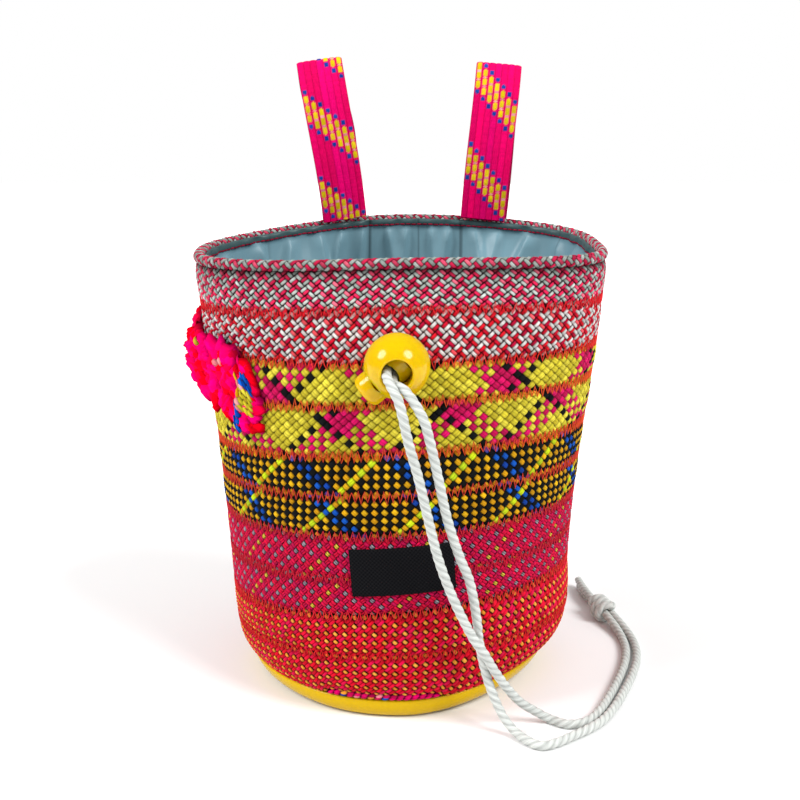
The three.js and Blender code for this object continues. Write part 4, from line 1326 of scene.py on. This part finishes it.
def ball_lock():
    finish = plastic_finish("lock_plastic", tint("cca800"), roughness=0.14, specular=0.3, scale=700,
                            depth=0.01, glow=0.8)
    start = math.asin((CORD_HOLE_RADIUS + HOLE_RIM) / BALL_RADIUS)
    arc = [(BALL_RADIUS * math.sin(t), BALL_RADIUS * math.cos(t))
           for t in np.linspace(start, math.pi - start, 60)]
    deep = BALL_RADIUS * math.cos(start) - HOLE_RIM
    lip = [(CORD_HOLE_RADIUS + HOLE_RIM - HOLE_RIM * math.sin(t), deep + HOLE_RIM * math.cos(t))
           for t in np.linspace(0.2, math.pi / 2, 7)]
    profile = arc + [(r, -y) for r, y in lip] + lip[::-1] + arc[:1]
    points, faces = turned(profile, 96)
    ball = rough_object("lock_ball", points[:, [0, 2, 1]] * [1, -1, 1], faces, HOLE_DIP)
    bore = [(0, BORE_BOTTOM), (BORE_RADIUS, BORE_BOTTOM), (BORE_RADIUS, PAST_BORE), (0, PAST_BORE)]
    cut(ball, rough_object("bore", *turned(bore, 64)))
    edge = [(BUTTON_RADIUS - BUTTON_ROUND + BUTTON_ROUND * math.cos(t),
             BUTTON_REACH - BUTTON_ROUND + BUTTON_ROUND * math.sin(t))
            for t in np.linspace(0, math.pi / 2, 7)]
    crown = [(2.5, BUTTON_REACH + 0.15), (0, BUTTON_REACH + 0.3)]
    profile = [(0, BUTTON_FOOT), (BUTTON_RADIUS, BUTTON_FOOT), *edge, *crown]
    button = rough_object("lock_button", *turned(profile, 64))
    wide, long, off = BUTTON_HOLE
    points, faces = turned([(0, -PAST_HOLE), (1, -PAST_HOLE), (1, PAST_HOLE), (0, PAST_HOLE)], 48)
    cut(button, rough_object("hole", points[:, [0, 2, 1]] * [wide, -long, 1] + [0, off, 0], faces))
    for made, cad, body in ((ball, "lock_ball", "bag"), (button, "lock_button", "lock_button")):
        made.data.shade_smooth()
        made.data.set_sharp_from_angle(angle=SHARP_EDGE)
        made.data.materials.clear()
        made.data.materials.append(finish)
        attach(made, body)
        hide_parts(cad)


# Studio

# Strength of the sky, the share of it that gloss reflects, and half the floor's width in metres
SKY_LIGHT = 0.78
SKY_GLOSS = 0.2
FLOOR_REACH = 4
# How wide each light is, the direction that it comes from, and its strength
LIGHT_WIDTH = math.radians(26)
LIGHTS = {
    "left_light": ((-0.747, -0.25, 0.617), 2.5),
    "right_light": ((0.584, -0.426, 0.692), 2.65),
}


def studio():
    lens = bpy.data.cameras.new("camera")
    lens.lens = CAMERA_LENS
    lens.sensor_width = SENSOR
    lens.clip_start = 0.01
    camera = put(lens)
    camera.location = [MM * x for x in CAMERA_PLACE]
    camera.rotation_euler = (math.radians(90 - CAMERA_TILT), 0, 0)
    scene.camera = camera
    scene.view_settings.view_transform = "Standard"
    world = bpy.data.worlds.new("studio")
    world.use_nodes = True
    sky = world.node_tree
    sky.nodes["Background"].inputs[0].default_value = (1, 1, 1, 1)
    ray = node(sky, "ShaderNodeLightPath")
    bright = ranged(sky, ray.outputs["Is Camera Ray"], 0.0, 1.0, SKY_LIGHT, 1.0)
    dim = ranged(sky, ray.outputs["Is Glossy Ray"], 0.0, 1.0, 1.0, SKY_GLOSS)
    sky.links.new(result(sky, "MULTIPLY", bright, dim), sky.nodes["Background"].inputs[1])
    scene.world = world
    data = bpy.data.meshes.new("floor")
    signs = ((-1, -1), (1, -1), (1, 1), (-1, 1))
    data.from_pydata([(FLOOR_REACH * x, FLOOR_REACH * y, 0) for x, y in signs], [], [(0, 1, 2, 3)])
    data.materials.append(surface_of("floor", roughness=0.9, specular=0.0)[0])
    staged = [put(data)]
    for name, (way, power) in LIGHTS.items():
        lamp = bpy.data.lights.new(name, "SUN")
        lamp.energy = power
        lamp.angle = LIGHT_WIDTH
        made = put(lamp)
        made.rotation_euler = Vector(way).to_track_quat("Z", "Y").to_euler()
        staged.append(made)


studio()
drawcords()
finishes = sheath_bands()
rim_roll(finishes["sheath_grey_raspberry"])
seam_threads()
lining()
hem_stitches()
base()
magenta = yarn_finish("sheath_magenta", roughness=0.8, specular=0.05)
hem_strip(magenta)
for loop in BELT_LOOPS:
    belt_loop(loop, magenta)
brush_loop()
label()
ball_lock()
